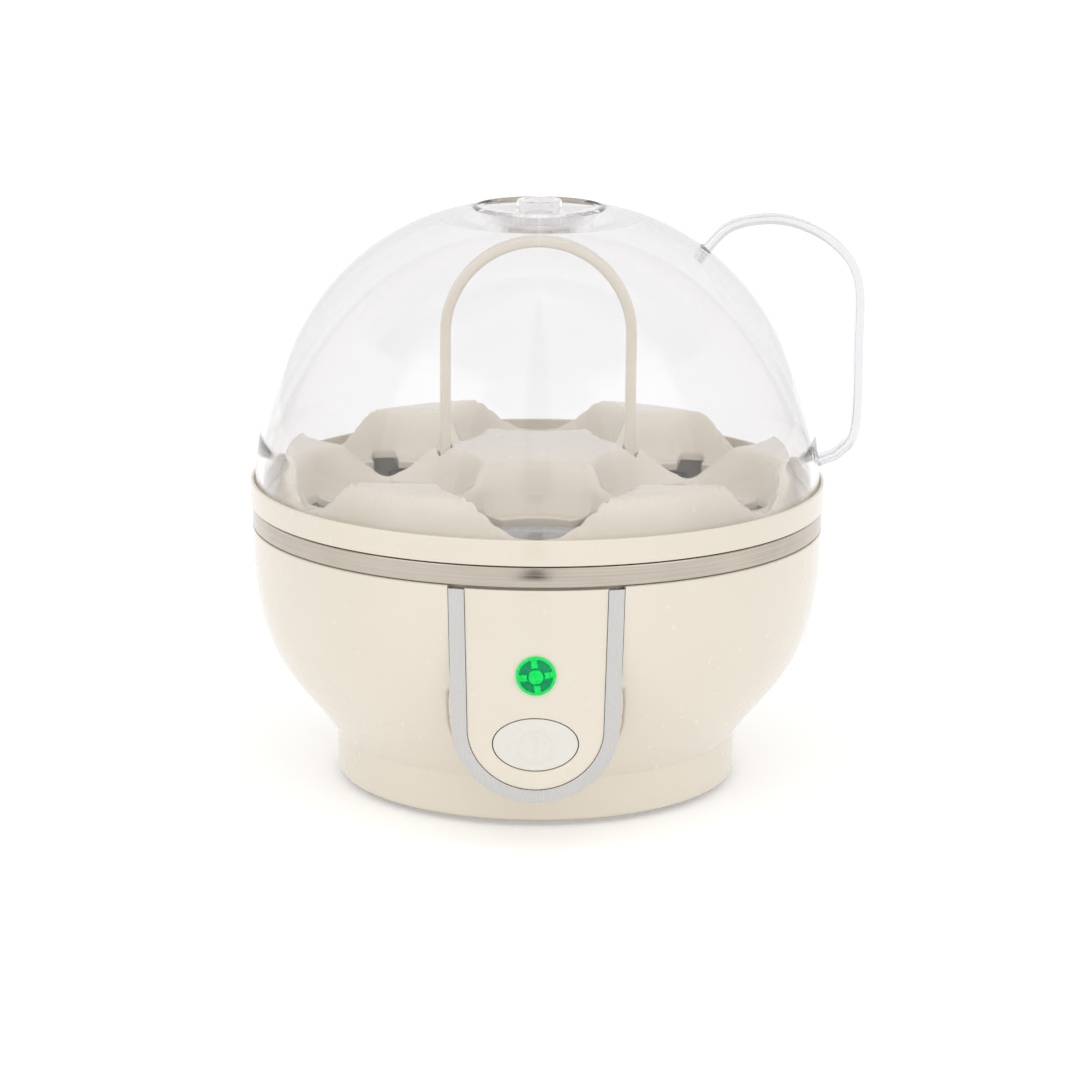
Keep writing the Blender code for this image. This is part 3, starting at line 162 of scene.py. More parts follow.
def feed(node, inputs):
    """Sets or links a node's inputs: each gets a number, a tuple or another node's socket."""
    for key, value in inputs.items():
        if isinstance(value, bpy.types.NodeSocket):
            node.id_data.links.new(value, node.inputs[key])
        else:
            node.inputs[key].default_value = value


def wire(tree, kind, props=None, **values):
    """A new node with its settings and its inputs, which are called by name, or i0, i1 and so on."""
    made = tree.nodes.new(kind)
    for key, value in (props or {}).items():
        setattr(made, key, value)
    numbered = {key: int(key[1:]) for key in values if key[0] == "i" and key[1:].isdigit()}
    feed(made, {numbered.get(key, key): value for key, value in values.items()})
    return made


def compute(tree, operation, first, second=0.0, third=0.0):
    return wire(tree, "ShaderNodeMath", {"operation": operation}, i0=first, i1=second, i2=third).outputs[0]


def ramp(tree, socket, start, end, low, high):
    return wire(tree, "ShaderNodeMapRange", Value=socket, i1=start, i2=end, i3=low, i4=high).outputs[0]


def frame_coordinates(tree, stretch=(1, 1, 1)):
    """The surface's place in metres, scaled by stretch along each axis."""
    place = tree.nodes.new("ShaderNodeTexCoord").outputs["Object"]
    return wire(tree, "ShaderNodeMapping", Vector=place, Scale=stretch).outputs[0]


def turned_coordinates(tree, round_scale, radial_scale, height_scale):
    """(turn, radius, height) about the Z axis, for brushing that runs round a piece."""
    place = tree.nodes.new("ShaderNodeTexCoord").outputs["Object"]
    turn = wire(tree, "ShaderNodeTexGradient", {"gradient_type": "RADIAL"}, Vector=place).outputs["Fac"]
    parts = wire(tree, "ShaderNodeSeparateXYZ", Vector=place)
    flat = wire(tree, "ShaderNodeCombineXYZ", X=parts.outputs["X"], Y=parts.outputs["Y"], Z=0.0)
    length = wire(tree, "ShaderNodeVectorMath", {"operation": "LENGTH"}, i0=flat.outputs[0])
    return wire(tree, "ShaderNodeCombineXYZ", X=compute(tree, "MULTIPLY", turn, round_scale),
                Y=compute(tree, "MULTIPLY", length.outputs["Value"], radial_scale),
                Z=compute(tree, "MULTIPLY", parts.outputs["Z"], height_scale)).outputs[0]


def new_material(name):
    made = bpy.data.materials.new(name)
    made.use_nodes = True
    return made, made.node_tree, made.node_tree.nodes["Principled BSDF"]


def noise(tree, place, scale, detail=3.0, roughness=0.55):
    return wire(tree, "ShaderNodeTexNoise", Vector=place, Scale=scale, Detail=detail,
                Roughness=roughness).outputs["Fac"]


def spread(tree, socket, low, high):
    return ramp(tree, socket, 0.3, 0.7, low, high)


def tinted(tree, socket, colour, change):
    """The colour, a little darker and lighter where the socket is low and high."""
    dark = (*[part * (1 - change) for part in colour], 1)
    light = (*[min(part * (1 + change), 1.0) for part in colour], 1)
    return wire(tree, "ShaderNodeMix", {"data_type": "RGBA"}, i0=spread(tree, socket, 0.0, 1.0),
                i6=dark, i7=light).outputs[2]


def bumped(tree, socket, strength, distance):
    return wire(tree, "ShaderNodeBump", Height=socket, Strength=strength, Distance=distance).outputs[0]


def moulded(name, colour, rough, mottle=0.012, bump=0.1, depth=0.00002, coat=0.0):
    """Moulded plastic or rubber: faint clouds of colour, and the fine skin of the mould."""
    made, tree, shader = new_material(name)
    place = frame_coordinates(tree)
    feed(shader, {
        "Base Color": tinted(tree, noise(tree, place, MOULD_CLOUD), colour, mottle),
        "Roughness": spread(tree, noise(tree, place, MOULD_CLOUD * 9), rough * 0.85, rough * 1.15),
        "Normal": bumped(tree, noise(tree, place, MOULD_GRAIN), bump, depth),
        "Coat Weight": coat, "Coat Roughness": 0.04, "IOR": 1.5,
    })
    return made


def brushed(name, colour, rough, place_of, change=0.06, bump=0.25, turned_grain=False):
    """Metal with fine parallel lines; place_of gives the coordinates that stretch them."""
    made, tree, shader = new_material(name)
    lines = noise(tree, place_of(tree), 1.0, 5.0, 0.7)
    cloud = noise(tree, frame_coordinates(tree), 60.0)
    both = compute(tree, "MULTIPLY_ADD", cloud, CLOUD_SHARE, lines)
    feed(shader, {
        "Base Color": tinted(tree, compute(tree, "SUBTRACT", both, CLOUD_SHARE / 2), colour, change),
        "Roughness": spread(tree, lines, rough * 0.75, rough * 1.3),
        "Normal": bumped(tree, lines, bump, 0.00003),
        "Metallic": 1.0,
    })
    if turned_grain:
        around = wire(tree, "ShaderNodeTangent", {"direction_type": "RADIAL", "axis": "Z"})
        feed(shader, {"Anisotropic": 0.7, "Tangent": around.outputs[0]})
    return made


def clear(name, colour, rough):
    """Clear moulded plastic; light on its way to what is behind passes straight through it."""
    made, tree, shader = new_material(name)
    place = frame_coordinates(tree)
    feed(shader, {
        "Base Color": tinted(tree, noise(tree, place, 30.0), colour, 0.006),
        "Roughness": spread(tree, noise(tree, place, 500.0, 6.0), rough * 0.4, rough * 1.6),
        "Normal": bumped(tree, noise(tree, place, 24.0, 1.0), 0.1, 0.00005),
        "Transmission Weight": 1.0, "IOR": 1.46,
    })
    rays = tree.nodes.new("ShaderNodeLightPath").outputs
    through = wire(tree, "ShaderNodeBsdfTransparent", Color=(1, 1, 1, 1)).outputs[0]
    mixed = shader.outputs[0]
    for kind in ("Is Diffuse Ray", "Is Shadow Ray"):
        mixed = wire(tree, "ShaderNodeMixShader", i0=rays[kind], i1=mixed, i2=through).outputs[0]
    feed(tree.nodes["Material Output"], {"Surface": mixed})
    return made


def glowing(name, colour, emission, strength):
    """A jewel of the lamp's lens, lit from behind and a little uneven."""
    made, tree, shader = new_material(name)
    place = frame_coordinates(tree)
    cloud = noise(tree, place, 900.0, 4.0)
    feed(shader, {
        "Base Color": tinted(tree, cloud, colour, 0.25),
        "Emission Color": tinted(tree, cloud, emission, 0.3),
        "Roughness": spread(tree, noise(tree, place, 3000.0), 0.05, 0.12),
        "Emission Strength": strength, "Specular IOR Level": 0.15,
        "Coat Weight": 0.1, "Coat Roughness": 0.02,
    })
    return made


def round_brush(tree):
    return turned_coordinates(tree, 9.0, 2500.0, 5200.0)


def upright_brush(tree):
    return frame_coordinates(tree, (3800.0, 600.0, 160.0))


def even_grain(tree):
    return frame_coordinates(tree, (900.0, 900.0, 900.0))


FINISHES = {
    "cream_plastic": moulded("cream_plastic", (0.672, 0.612, 0.518), 0.24, coat=0.5),
    "button_plastic": moulded("button_plastic", (0.655, 0.635, 0.587), 0.3, coat=0.3),
    "clear_plastic": clear("clear_plastic", (0.925, 0.92, 0.926), 0.03),
    "brushed_steel": brushed("brushed_steel", (0.50, 0.445, 0.385), 0.15, round_brush, 0.14, 0.1,
                             turned_grain=True),
    "satin_chrome": brushed("satin_chrome", (0.555, 0.548, 0.535), 0.28, upright_brush, 0.03, 0.12),
    "plate_steel": brushed("plate_steel", (0.62, 0.61, 0.59), 0.24, round_brush, 0.05),
    "green_lens": glowing("green_lens", (0.0, 0.30, 0.06), (0.0, 1.0, 0.08), 0.55),
    "lamp_glass": glowing("lamp_glass", (0.4, 0.9, 0.5), (0.3, 1.0, 0.4), 1.0),
    "zinc_steel": brushed("zinc_steel", (0.62, 0.62, 0.60), 0.35, even_grain, 0.08),
    "aluminium": brushed("aluminium", (0.78, 0.78, 0.78), 0.4, even_grain, 0.05),
    "dark_plastic": moulded("dark_plastic", (0.025, 0.025, 0.027), 0.45, 0.1),
    "natural_plastic": moulded("natural_plastic", (0.72, 0.71, 0.66), 0.45, 0.03),
    "silicone": moulded("silicone", (0.70, 0.68, 0.64), 0.6, 0.03),
    "rubber": moulded("rubber", (0.03, 0.03, 0.032), 0.8, 0.15, bump=0.3),
    "fuse_sleeve": moulded("fuse_sleeve", (0.82, 0.80, 0.74), 0.8, 0.05, bump=0.4, depth=0.0001),
}
WIRE_COLOURS = {
    "wire_brown": (0.18, 0.075, 0.03), "wire_blue": (0.03, 0.10, 0.40),
    "wire_red": (0.40, 0.03, 0.03), "wire_green": (0.10, 0.33, 0.05),
}
FINISHES.update({name: moulded(name, colour, 0.5, 0.08) for name, colour in WIRE_COLOURS.items()})
# Painted shade: the strap gets a darker copy of the clear plastic, so that it shows grey against the white
# room.
STRAP_PAINTED_SHADE_FINISH = clear("clear_strap_painted_shade", (0.79, 0.79, 0.81), 0.12)
# Painted shade: a darker, dimmer copy of the lens's glow, for the hollows between its ribs.
LENS_PAINTED_SHADE = glowing("green_lens_painted_shade", (0.0, 0.14, 0.06), (0.0, 0.22, 0.07), 0.55)


# ---------------- mesh helpers

def linked(name, data):
    """A new object in the scene, made of a mesh, a lamp or a camera."""
    made = bpy.data.objects.new(name, data)
    bpy.context.scene.collection.objects.link(made)
    return made


def object_of(name, bm):
    """A new object with the bmesh's shape; the bmesh is used up."""
    mesh = bpy.data.meshes.new(name)
    bm.to_mesh(mesh)
    bm.free()
    return linked(name, mesh)


def finish_piece(name, bm, body, slot, replaces=(), sharp=38):
    """Makes a piece of a bmesh in millimetres, riding on a body with a slot's finish."""
    bmesh.ops.recalc_face_normals(bm, faces=bm.faces)
    if bm.calc_volume(signed=True) < 0:
        bmesh.ops.reverse_faces(bm, faces=bm.faces)
    bm.transform(Matrix.Scale(MM, 4))
    made = object_of(name, bm)
    made.data.shade_smooth()
    made.data.set_sharp_from_angle(angle=radians(sharp))
    made.data.materials.append(FINISHES[slot])
    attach(made, body)
    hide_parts(*replaces)
    return made


def filleted(corners, steps=5, closed=True):
    """An outline with rounded corners. A corner is (x, y) or (x, y, rounding)."""
    points = []
    for i, corner in enumerate(corners):
        here = Vector(corner[:2])
        at_end = not closed and i in (0, len(corners) - 1)
        if len(corner) < 3 or at_end:
            points.append(tuple(here))
            continue
        before = Vector(corners[i - 1][:2]) - here
        after = Vector(corners[(i + 1) % len(corners)][:2]) - here
        half = acos(max(-1, min(1, before.normalized().dot(after.normalized())))) / 2
        reach = min(corner[2] / tan(half), before.length * 0.48, after.length * 0.48)
        first, last = here + before.normalized() * reach, here + after.normalized() * reach
        for k in range(steps + 1):
            t = k / steps
            point = first * (1 - t) ** 2 + here * 2 * t * (1 - t) + last * t ** 2
            points.append(tuple(point))
    return points


def skin(bm, rows, close_rows=False, close_columns=True, capped=False):
    """Faces between rows of equal length; a row of one point is a pole."""
    made = [[bm.verts.new(point) for point in row] for row in rows]
    pairs = list(zip(made, made[1:]))
    if close_rows:
        pairs.append((made[-1], made[0]))
    for low, high in pairs:
        count = max(len(low), len(high))
        for i in range(count if close_columns else count - 1):
            j = (i + 1) % count
            if len(low) == 1:
                bm.faces.new((low[0], high[j], high[i]))
            elif len(high) == 1:
                bm.faces.new((low[i], low[j], high[0]))
            else:
                bm.faces.new((low[i], low[j], high[j], high[i]))
    if capped:
        bm.faces.new(made[0])
        bm.faces.new(made[-1])


def turned(bm, profile, segments=ROUND, centre=(0, 0, 0), axis="Z"):
    """Turns (radius, height) points round an axis through centre."""
    place = Matrix.Translation(centre)
    if axis == "Y":
        place = place @ Matrix.Rotation(radians(-90), 4, "X")
    rows = []
    for radius, height in profile:
        count = 1 if radius < 1e-6 else segments
        angles = [2 * pi * i / count for i in range(count)]
        rows.append([place @ Vector((radius * cos(a), radius * sin(a), height)) for a in angles])
    skin(bm, rows, close_rows=profile[0][0] > 1e-6)


def turned_piece(name, profile, body, slot, replaces=(), segments=ROUND, centre=(0, 0, 0), axis="Z"):
    bm = bmesh.new()
    turned(bm, profile, segments, centre, axis)
    return finish_piece(name, bm, body, slot, replaces)


def rounded_rectangle(width, height, rounding, steps=4):
    half = ((-1, -1), (1, -1), (1, 1), (-1, 1))
    return filleted([(x * width / 2, y * height / 2, rounding) for x, y in half], steps)


def strap_mesh(bm, path, thickness, width, rounding, steps=4):
    """A strap with rounded edges along (x, z) points in the plane Y = 0."""
    section = rounded_rectangle(thickness, width, rounding, steps)
    rows = []
    for i, (x, z) in enumerate(path):
        ahead = Vector(path[min(i + 1, len(path) - 1)])
        behind = Vector(path[max(i - 1, 0)])
        along = (ahead - behind).normalized()
        side = Vector((-along.y, along.x))
        rows.append([(x + side.x * s, y, z + side.y * s) for s, y in section])
    skin(bm, rows, capped=True)


def smooth_path(points, steps):
    """Points on the curve that passes through the given ones, with steps between each pair."""
    first = tuple(2 * a - b for a, b in zip(points[0], points[1]))
    last = tuple(2 * a - b for a, b in zip(points[-1], points[-2]))
    padded = np.array([first, *points, last], float)
    path = []
    for i in range(1, len(padded) - 2):
        a, b, c, d = padded[i - 1:i + 3]
        for t in (np.arange(steps) / steps).tolist():
            curve = 2 * b + (c - a) * t + (2 * a - 5 * b + 4 * c - d) * t ** 2
            path.append((curve + (3 * b - a - 3 * c + d) * t ** 3) / 2)
    path.append(padded[-2])
    return [tuple(float(value) for value in point) for point in path]


def inside(points, loop):
    """Which of the points lie inside a closed loop."""
    x, y = points[:, 0], points[:, 1]
    found = np.zeros(len(points), bool)
    for (xa, ya), (xb, yb) in zip(loop, np.roll(loop, -1, axis=0)):
        if ya != yb:
            crosses = (ya > y) != (yb > y)
            found ^= crosses & (x < (xb - xa) * (y - ya) / (yb - ya) + xa)
    return found


def away_from(points, loop, distance):
    """Which of the points lie further than the distance from each of the loop's points."""
    nearest = np.full(len(points), np.inf)
    for corner in loop:
        nearest = np.minimum(nearest, np.hypot(points[:, 0] - corner[0], points[:, 1] - corner[1]))
    return nearest > distance


def inward_normals(loop, is_hole):
    """Unit directions from a loop's points into the material that it bounds."""
    tangent = np.roll(loop, -1, axis=0) - np.roll(loop, 1, axis=0)
    tangent /= np.linalg.norm(tangent, axis=1)[:, None]
    area = np.sum(loop[:, 0] * np.roll(loop[:, 1], -1) - np.roll(loop[:, 0], -1) * loop[:, 1])
    turn = 1 if (area > 0) != is_hole else -1
    return np.stack([-tangent[:, 1], tangent[:, 0]], axis=1) * turn


def plate_mesh(bm, outline, holes, place, thickness, edge, spacing):
    """A sheet with rounded edges; place(u, v, depth) puts its points in space."""
    loops = [(np.array(outline, float), False)] + [(np.array(hole, float), True) for hole in holes]
    rings = [(loop, inward_normals(loop, is_hole)) for loop, is_hole in loops]
    inner = [loop + normals * edge for loop, normals in rings]
    low, high = loops[0][0].min(0), loops[0][0].max(0)
    us, vs = np.meshgrid(np.arange(low[0], high[0], spacing), np.arange(low[1], high[1], spacing))
    us[1::2] += spacing / 2
    grid = np.stack([us.ravel(), vs.ravel()], axis=1)
    grid = grid[inside(grid, inner[0]) & away_from(grid, inner[0], spacing * 0.7)]
    for ring in inner[1:]:
        grid = grid[~inside(grid, ring) & away_from(grid, ring, spacing * 0.7)]
    flat = np.concatenate([*inner, grid])
    edges, starts, at = [], [], 0
    for ring in inner:
        starts.append(at)
        edges += [(at + i, at + (i + 1) % len(ring)) for i in range(len(ring))]
        at += len(ring)
    made = delaunay_2d_cdt([Vector(point) for point in flat.tolist()], edges, [], 0, 1e-5)
    found = np.array([tuple(point) for point in made[0]])
    source = [sources[0] for sources in made[3]]
    faces = [face for face in made[2] if len(face) == 3]
    middles = np.array([found[face].mean(axis=0) for face in map(list, faces)])
    keep = inside(middles, inner[0])
    for ring in inner[1:]:
        keep &= ~inside(middles, ring)
    faces = [[source[i] for i in face] for face, kept in zip(faces, keep) if kept]
    front = [bm.verts.new(place(u, v, 0.0)) for u, v in flat.tolist()]
    back_flat = np.concatenate([*[loop for loop, normals in rings], grid])
    back = [bm.verts.new(place(u, v, thickness)) for u, v in back_flat.tolist()]
    for face in faces:
        bm.faces.new([front[i] for i in face])
        bm.faces.new([back[i] for i in reversed(face)])
    for (loop, normals), start in zip(rings, starts):
        rows = [front[start:start + len(loop)]]
        for step in (1, 2, 3):
            turn = pi / 2 * step / 3
            ring = loop + normals * edge * (1 - sin(turn))
            depth = edge * (1 - cos(turn))
            rows.append([bm.verts.new(place(u, v, depth)) for u, v in ring.tolist()])
        rows.append(back[start:start + len(loop)])
        for upper, lower in zip(rows, rows[1:]):
            for i in range(len(loop)):
                j = (i + 1) % len(loop)
                bm.faces.new((upper[i], upper[j], lower[j], lower[i]))
    loose = [vert for vert in bm.verts if not vert.link_faces]
    bmesh.ops.delete(bm, geom=loose, context="VERTS")


def ease(share):
    share = min(max(share, 0.0), 1.0)
    return share * share * (3 - 2 * share)


def polar(radius, angle, height=0.0):
    return Vector((radius * cos(radians(angle)), radius * sin(radians(angle)), height))


def circle(radius, centre=(0, 0), count=SMALL_ROUND):
    angles = [2 * pi * i / count for i in range(count)]
    return [(centre[0] + radius * cos(a), centre[1] + radius * sin(a)) for a in angles]


def cut(target, cutter_bm, name):
    """Takes a shape out of a piece, and leaves no helper behind."""
    bmesh.ops.recalc_face_normals(cutter_bm, faces=cutter_bm.faces)
    cutter_bm.transform(Matrix.Scale(MM, 4))
    helper = object_of(name, cutter_bm)
    modifier = target.modifiers.new(name, "BOOLEAN")
    modifier.operation = "DIFFERENCE"
    modifier.object = helper
    apply_modifiers(target)
    bpy.data.objects.remove(helper, do_unlink=True)


def apply_modifiers(target):
    graph = bpy.context.evaluated_depsgraph_get()
    made = bpy.data.meshes.new_from_object(target.evaluated_get(graph))
    target.modifiers.clear()
    old = target.data
    target.data = made
    bpy.data.meshes.remove(old)


# ---------------- the base's outlines

def bowl_curve(count):
    """Points (radius, height) of the bowl's outside, from the foot up to the seam."""
    start = Vector((FOOT_RADIUS, FOOT_HEIGHT))
    handles = (start, start + FLARE, Vector((BOWL_RADIUS, FOOT_HEIGHT + BELLY_UP)),
               Vector((BOWL_RADIUS, SEAM)))
    points = []
    for t in np.linspace(0, 1, count).tolist():
        u = 1 - t
        shares = (u ** 3, 3 * t * u * u, 3 * t * t * u, t ** 3)
        point = sum((handle * share for handle, share in zip(handles, shares)), Vector((0, 0)))
        points.append((point.x, point.y))
    return points


FINE_BOWL = np.array(bowl_curve(400))


def bowl_radius(height):
    return float(np.interp(height, FINE_BOWL[:, 1], FINE_BOWL[:, 0]))


def slot_outline(leg_levels, arc_steps):
    """(x, z, outward x, outward z) from the top of the left leg, round the end, to the right leg's top."""
    slope = (PANEL_TOP_WIDTH - PANEL_LOW_WIDTH) / (SEAM - PANEL_ROUND_HEIGHT)
    lean = Vector((1, -slope)).normalized()
    half = [(PANEL_LOW_WIDTH + slope * (z - PANEL_ROUND_HEIGHT), z, lean.x, lean.y) for z in leg_levels]
    for i in range(arc_steps + 1):
        angle = pi / 2 * i / arc_steps
        out = Vector((cos(angle) / PANEL_LOW_WIDTH, -sin(angle) / PANEL_ROUND_DROP)).normalized()
        half.append((PANEL_LOW_WIDTH * cos(angle), PANEL_ROUND_HEIGHT - PANEL_ROUND_DROP * sin(angle),
                     out.x, out.y))
    return [(-x, z, -nx, nz) for x, z, nx, nz in half] + half[-2::-1]


def on_cylinder(x, z, radius):
    return (x, -sqrt(radius ** 2 - x ** 2), z)


def moved(point, distance):
    """An outline point moved outward; the open ends keep their height."""
    x, z, nx, nz = point
    return x + nx * distance, z + nz * distance * (0 if z > SEAM - 2 else 1)


# ---------------- the base

def base_shell():
    """The bowl and foot round the front slot, and the slot's walls, which stand out low down."""
    sector = radians(33)
    leg_steps, half_arc, bands = 17, 12, 7
    levels = [SEAM, SEAM - 0.6, SEAM - 1.4]
    levels += np.linspace(SEAM - 3, PANEL_ROUND_HEIGHT, leg_steps, endpoint=False).tolist()
    outline = slot_outline(levels, 2 * half_arc)
    half_count = len(levels) + 2 * half_arc
    falling = np.linspace(PANEL_ROUND_HEIGHT, FOOT_HEIGHT, half_arc + 1).tolist()

    def outer_place(index):
        """(turn, height) on the border between the slot's surroundings and the rest of the bowl."""
        side = -1 if index <= half_count else 1
        step = index if index <= half_count else 2 * half_count - index
        if step < len(levels):
            return side * sector, levels[step]
        step -= len(levels)
        if step <= half_arc:
            return side * sector, falling[step]
        return side * sector * (1 - (step - half_arc) / half_arc), FOOT_HEIGHT

    def widening(height):
        return SEAM_LINE * ease(bowl_radius(height) - POCKET_FLOOR + 1)

    def rounding_at(height):
        """Small where the slot is sunk into the bowl, larger where its walls stand out from it."""
        return 0.12 + 0.6 * ease((POCKET_FLOOR - bowl_radius(height)) / 3)

    def on_bowl(turn, height):
        radius = bowl_radius(height)
        return (radius * sin(turn), -radius * cos(turn), height)

    bm = bmesh.new()
    rows = [[] for _ in range(bands + 1)]
    for index, point in enumerate(outline):
        x, z = moved(point, widening(point[1]) + rounding_at(point[1]))
        start = Vector((asin(x / bowl_radius(z)), z))
        end = Vector(outer_place(index))
        for band in range(bands + 1):
            share = (band / bands) ** 1.4
            rows[band].append(on_bowl(*(start.lerp(end, share))))
    skin(bm, rows, close_columns=False)

    columns = np.linspace(sector, 2 * pi - sector, 119).tolist()
    side_levels = levels + falling
    skin(bm, [[on_bowl(turn, z) for turn in columns] for z in side_levels], close_columns=False)
    first_low, last_low = len(side_levels) - 1, 2 * half_count - len(side_levels) + 1
    front_turns = [outer_place(i)[0] for i in range(first_low, last_low + 1)]
    foot = filleted([(FOOT_RADIUS, FOOT_HEIGHT), (FOOT_RADIUS, 0.8, 2.0), (FOOT_RADIUS - 0.8, 0)], 5, False)
    turns = front_turns + columns[1:-1]
    skin(bm, [[(r * sin(t), -r * cos(t), z) for t in turns] for r, z in foot])

    walls = []
    for point in outline:
        height = point[1]
        out = widening(height)
        bowl = bowl_radius(moved(point, out)[1])
        side = 1 if POCKET_FLOOR > bowl else -1
        rounding = rounding_at(height)
        bend = min(rounding, abs(POCKET_FLOOR - bowl) * 0.45)
        lip = 0.35 if side > 0 and abs(POCKET_FLOOR - bowl) > 1 else 0.02
        floor = POCKET_FLOOR - (4.0 if height > SEAM - 0.7 else 0.0)
        path = filleted([(out + rounding, bowl), (out, bowl, bend), (out, POCKET_FLOOR, lip),
                         (out - TRIM_WIDTH - 1.6, floor), (out - TRIM_WIDTH - 1.6, floor - 2)], 4, False)
        column = []
        for distance, radius in path:
            x, z = moved(point, distance)
            if radius == bowl and distance == out + rounding:
                radius = bowl_radius(z)
            column.append(on_cylinder(x, z, radius))
        walls.append(column)
    skin(bm, walls, close_columns=False)
    bmesh.ops.remove_doubles(bm, verts=bm.verts, dist=0.002)
    shell = finish_piece("base_shell", bm, "base", "cream_plastic", ["base_housing"], 30)
    full_wall = shell.vertex_groups.new(name="full_wall")
    for vert in shell.data.vertices:
        place = vert.co / MM
        in_slot = place.z > FOOT_HEIGHT and abs(hypot(place.x, place.y) - bowl_radius(place.z)) > 0.005
        full_wall.add([vert.index], 0.0 if in_slot else 1.0, "REPLACE")
    thick = shell.modifiers.new("wall", "SOLIDIFY")
    thick.thickness = HOUSING_WALL * MM
    thick.offset = -1
    thick.thickness_vertex_group = SLOT_WALL / HOUSING_WALL
    thick.vertex_group = full_wall.name
    even = shell.modifiers.new("even_shading", "WEIGHTED_NORMAL")
    even.keep_sharp = True
    even.weight = 90
    apply_modifiers(shell)


def base_shoulder():
    """The neck behind the steel band and the inner shelf that carries the deck."""
    shelf = SEAM - 2.8
    neck_top = BAND_HIGH.z - BAND_SHEET - GAP
    profile = filleted([(NECK_OUTER, SEAM + 0.3), (NECK_OUTER, neck_top, 0.3),
                        (NECK_INNER, neck_top, 0.3), (NECK_INNER, shelf), (SHELF_INNER, shelf, 0.3),
                        (SHELF_INNER, shelf - 2, 0.3), (NECK_INNER + 0.6, shelf - 2),
                        (NECK_INNER + 0.6, SEAM + 0.3)])
    turned_piece("base_shoulder", profile, "base", "cream_plastic")


def steel_band():
    inner = BOWL_RADIUS - BAND_SHEET
    under = BAND_HIGH.z - BAND_SHEET
    profile = filleted([(inner, BAND_LOW.z), (BOWL_RADIUS, BAND_LOW.z, 0.3),
                        (BOWL_RADIUS, BAND_HIGH.z, 0.45), (NECK_INNER, BAND_HIGH.z, 0.2),
                        (NECK_INNER, under), (inner, under)])
    turned_piece("steel_band", profile, "base", "brushed_steel", ["steel_band"])


def trim_width(point):
    """The trim's width at an outline point: a little less round the bottom than along the legs."""
    return TRIM_WIDTH - TRIM_NARROWING * max(0, -point[3])


def panel_trim():
    levels = np.linspace(TRIM_TOP, PANEL_ROUND_HEIGHT, 14, endpoint=False).tolist()
    back = POCKET_FLOOR + GAP
    rows = []
    for point in slot_outline(levels, 30):
        width = trim_width(point)
        section = filleted([(0, back), (0, TRIM_FACE, 0.16), (-width, TRIM_FACE, 0.12), (-width, back)], 4)
        rows.append([on_cylinder(*moved(point, distance), radius) for distance, radius in section])
    bm = bmesh.new()
    skin(bm, rows, capped=True)
    finish_piece("panel_trim", bm, "base", "satin_chrome", ["panel_trim"])


def oval(half_width, half_height, height, count=72):
    angles = [2 * pi * i / count for i in range(count)]
    return [(half_width * cos(a), height + half_height * sin(a)) for a in angles]


def front_panel():
    levels = np.linspace(PANEL_TOP, PANEL_ROUND_HEIGHT, 24, endpoint=False).tolist()
    outline = [moved(point, -trim_width(point) - SEAM_LINE) for point in slot_outline(levels, 26)]
    top_width = outline[-1][0]
    outline += [(x, PANEL_TOP) for x in np.linspace(top_width, -top_width, 22).tolist()[1:-1]]
    holes = [circle(LENS_RADIUS - 0.4, (0, LENS_HEIGHT)),
             oval(BUTTON_HALF_WIDTH + GAP, BUTTON_HALF_HEIGHT + GAP, BUTTON_HEIGHT)]
    bm = bmesh.new()
    plate_mesh(bm, outline, holes, lambda x, z, depth: on_cylinder(x, z, PANEL_FACE - depth),
               PANEL_THICKNESS, 0.1, 1.7)
    finish_piece("front_panel", bm, "base", "cream_plastic", ["front_panel"])


def indicator_lens():
    """A domed jewel: a rim, a raised middle and four spokes over hollows darkened with painted shade."""
    rings = [0, 0.5, 0.9, 1.3, 1.7, 1.95, 2.1, 2.2, 2.35, 2.5, 2.8, 3.2, 3.6, 4.0,
             4.35, 4.5, 4.65, 4.9, 5.1, 5.22, LENS_RADIUS]
    count = 96
    face = -LENS_LOW.y - 1.4
    spoke_turns = [radians(turn) for turn in (8, 98, 188, 278)]

    def raised(radius, turn):
        """How much of a rib a place is: the rim, the middle and the spokes are ribs."""
        nearest = min(abs((turn - spoke + pi) % (2 * pi) - pi) for spoke in spoke_turns)
        spoke = ease((0.95 - nearest * radius) / 0.25)
        spoke *= ease((radius - 2.2) / 0.3)
        middle = ease((2.15 - radius) / 0.3)
        rim = ease((radius - 4.35) / 0.3)
        return max(spoke, middle, rim)

    bm = bmesh.new()
    rows = []
    for radius in rings:
        share = radius / LENS_RADIUS
        dome = 1.35 * (1 - share ** 2.4) + 0.05
        turns = [2 * pi * i / count for i in range(count if radius else 1)]
        row = []
        for turn in turns:
            out = face + dome - 0.4 * (1 - raised(radius, turn))
            row.append((radius * cos(turn), -out, LENS_HEIGHT + radius * sin(turn)))
        rows.append(row)
    body = LENS_RADIUS - 0.7
    flange = -face + 0.05
    for radius, y in ((LENS_RADIUS, flange), (body, flange), (body, LENS_HIGH.y), (0, LENS_HIGH.y)):
        turns = [2 * pi * i / count for i in range(count if radius else 1)]
        rows.append([(radius * cos(turn), y, LENS_HEIGHT + radius * sin(turn)) for turn in turns])
    skin(bm, rows)
    lens = finish_piece("indicator_lens", bm, "base", "green_lens", ["indicator_lens"], 50)
    # Faces in the hollows between the ribs get the painted shade: a darker, dimmer copy of the lens
    # material.
    lens.data.materials.append(LENS_PAINTED_SHADE)
    for face_made in lens.data.polygons:
        middle = face_made.center / MM
        radius = hypot(middle.x, middle.z - LENS_HEIGHT)
        if middle.y < flange and raised(radius, atan2(middle.z - LENS_HEIGHT, middle.x)) < 0.5:
            face_made.material_index = 1


def button_surface(x, z, raise_by=0.0):
    """A place on the button's gently crowned face."""
    share = hypot(x / BUTTON_HALF_WIDTH, (z - BUTTON_HEIGHT) / BUTTON_HALF_HEIGHT)
    crown = 0.25 * (1 - min(share, 1.0) ** 2)
    return on_cylinder(x, z, PANEL_FACE + 0.05 + crown + raise_by)


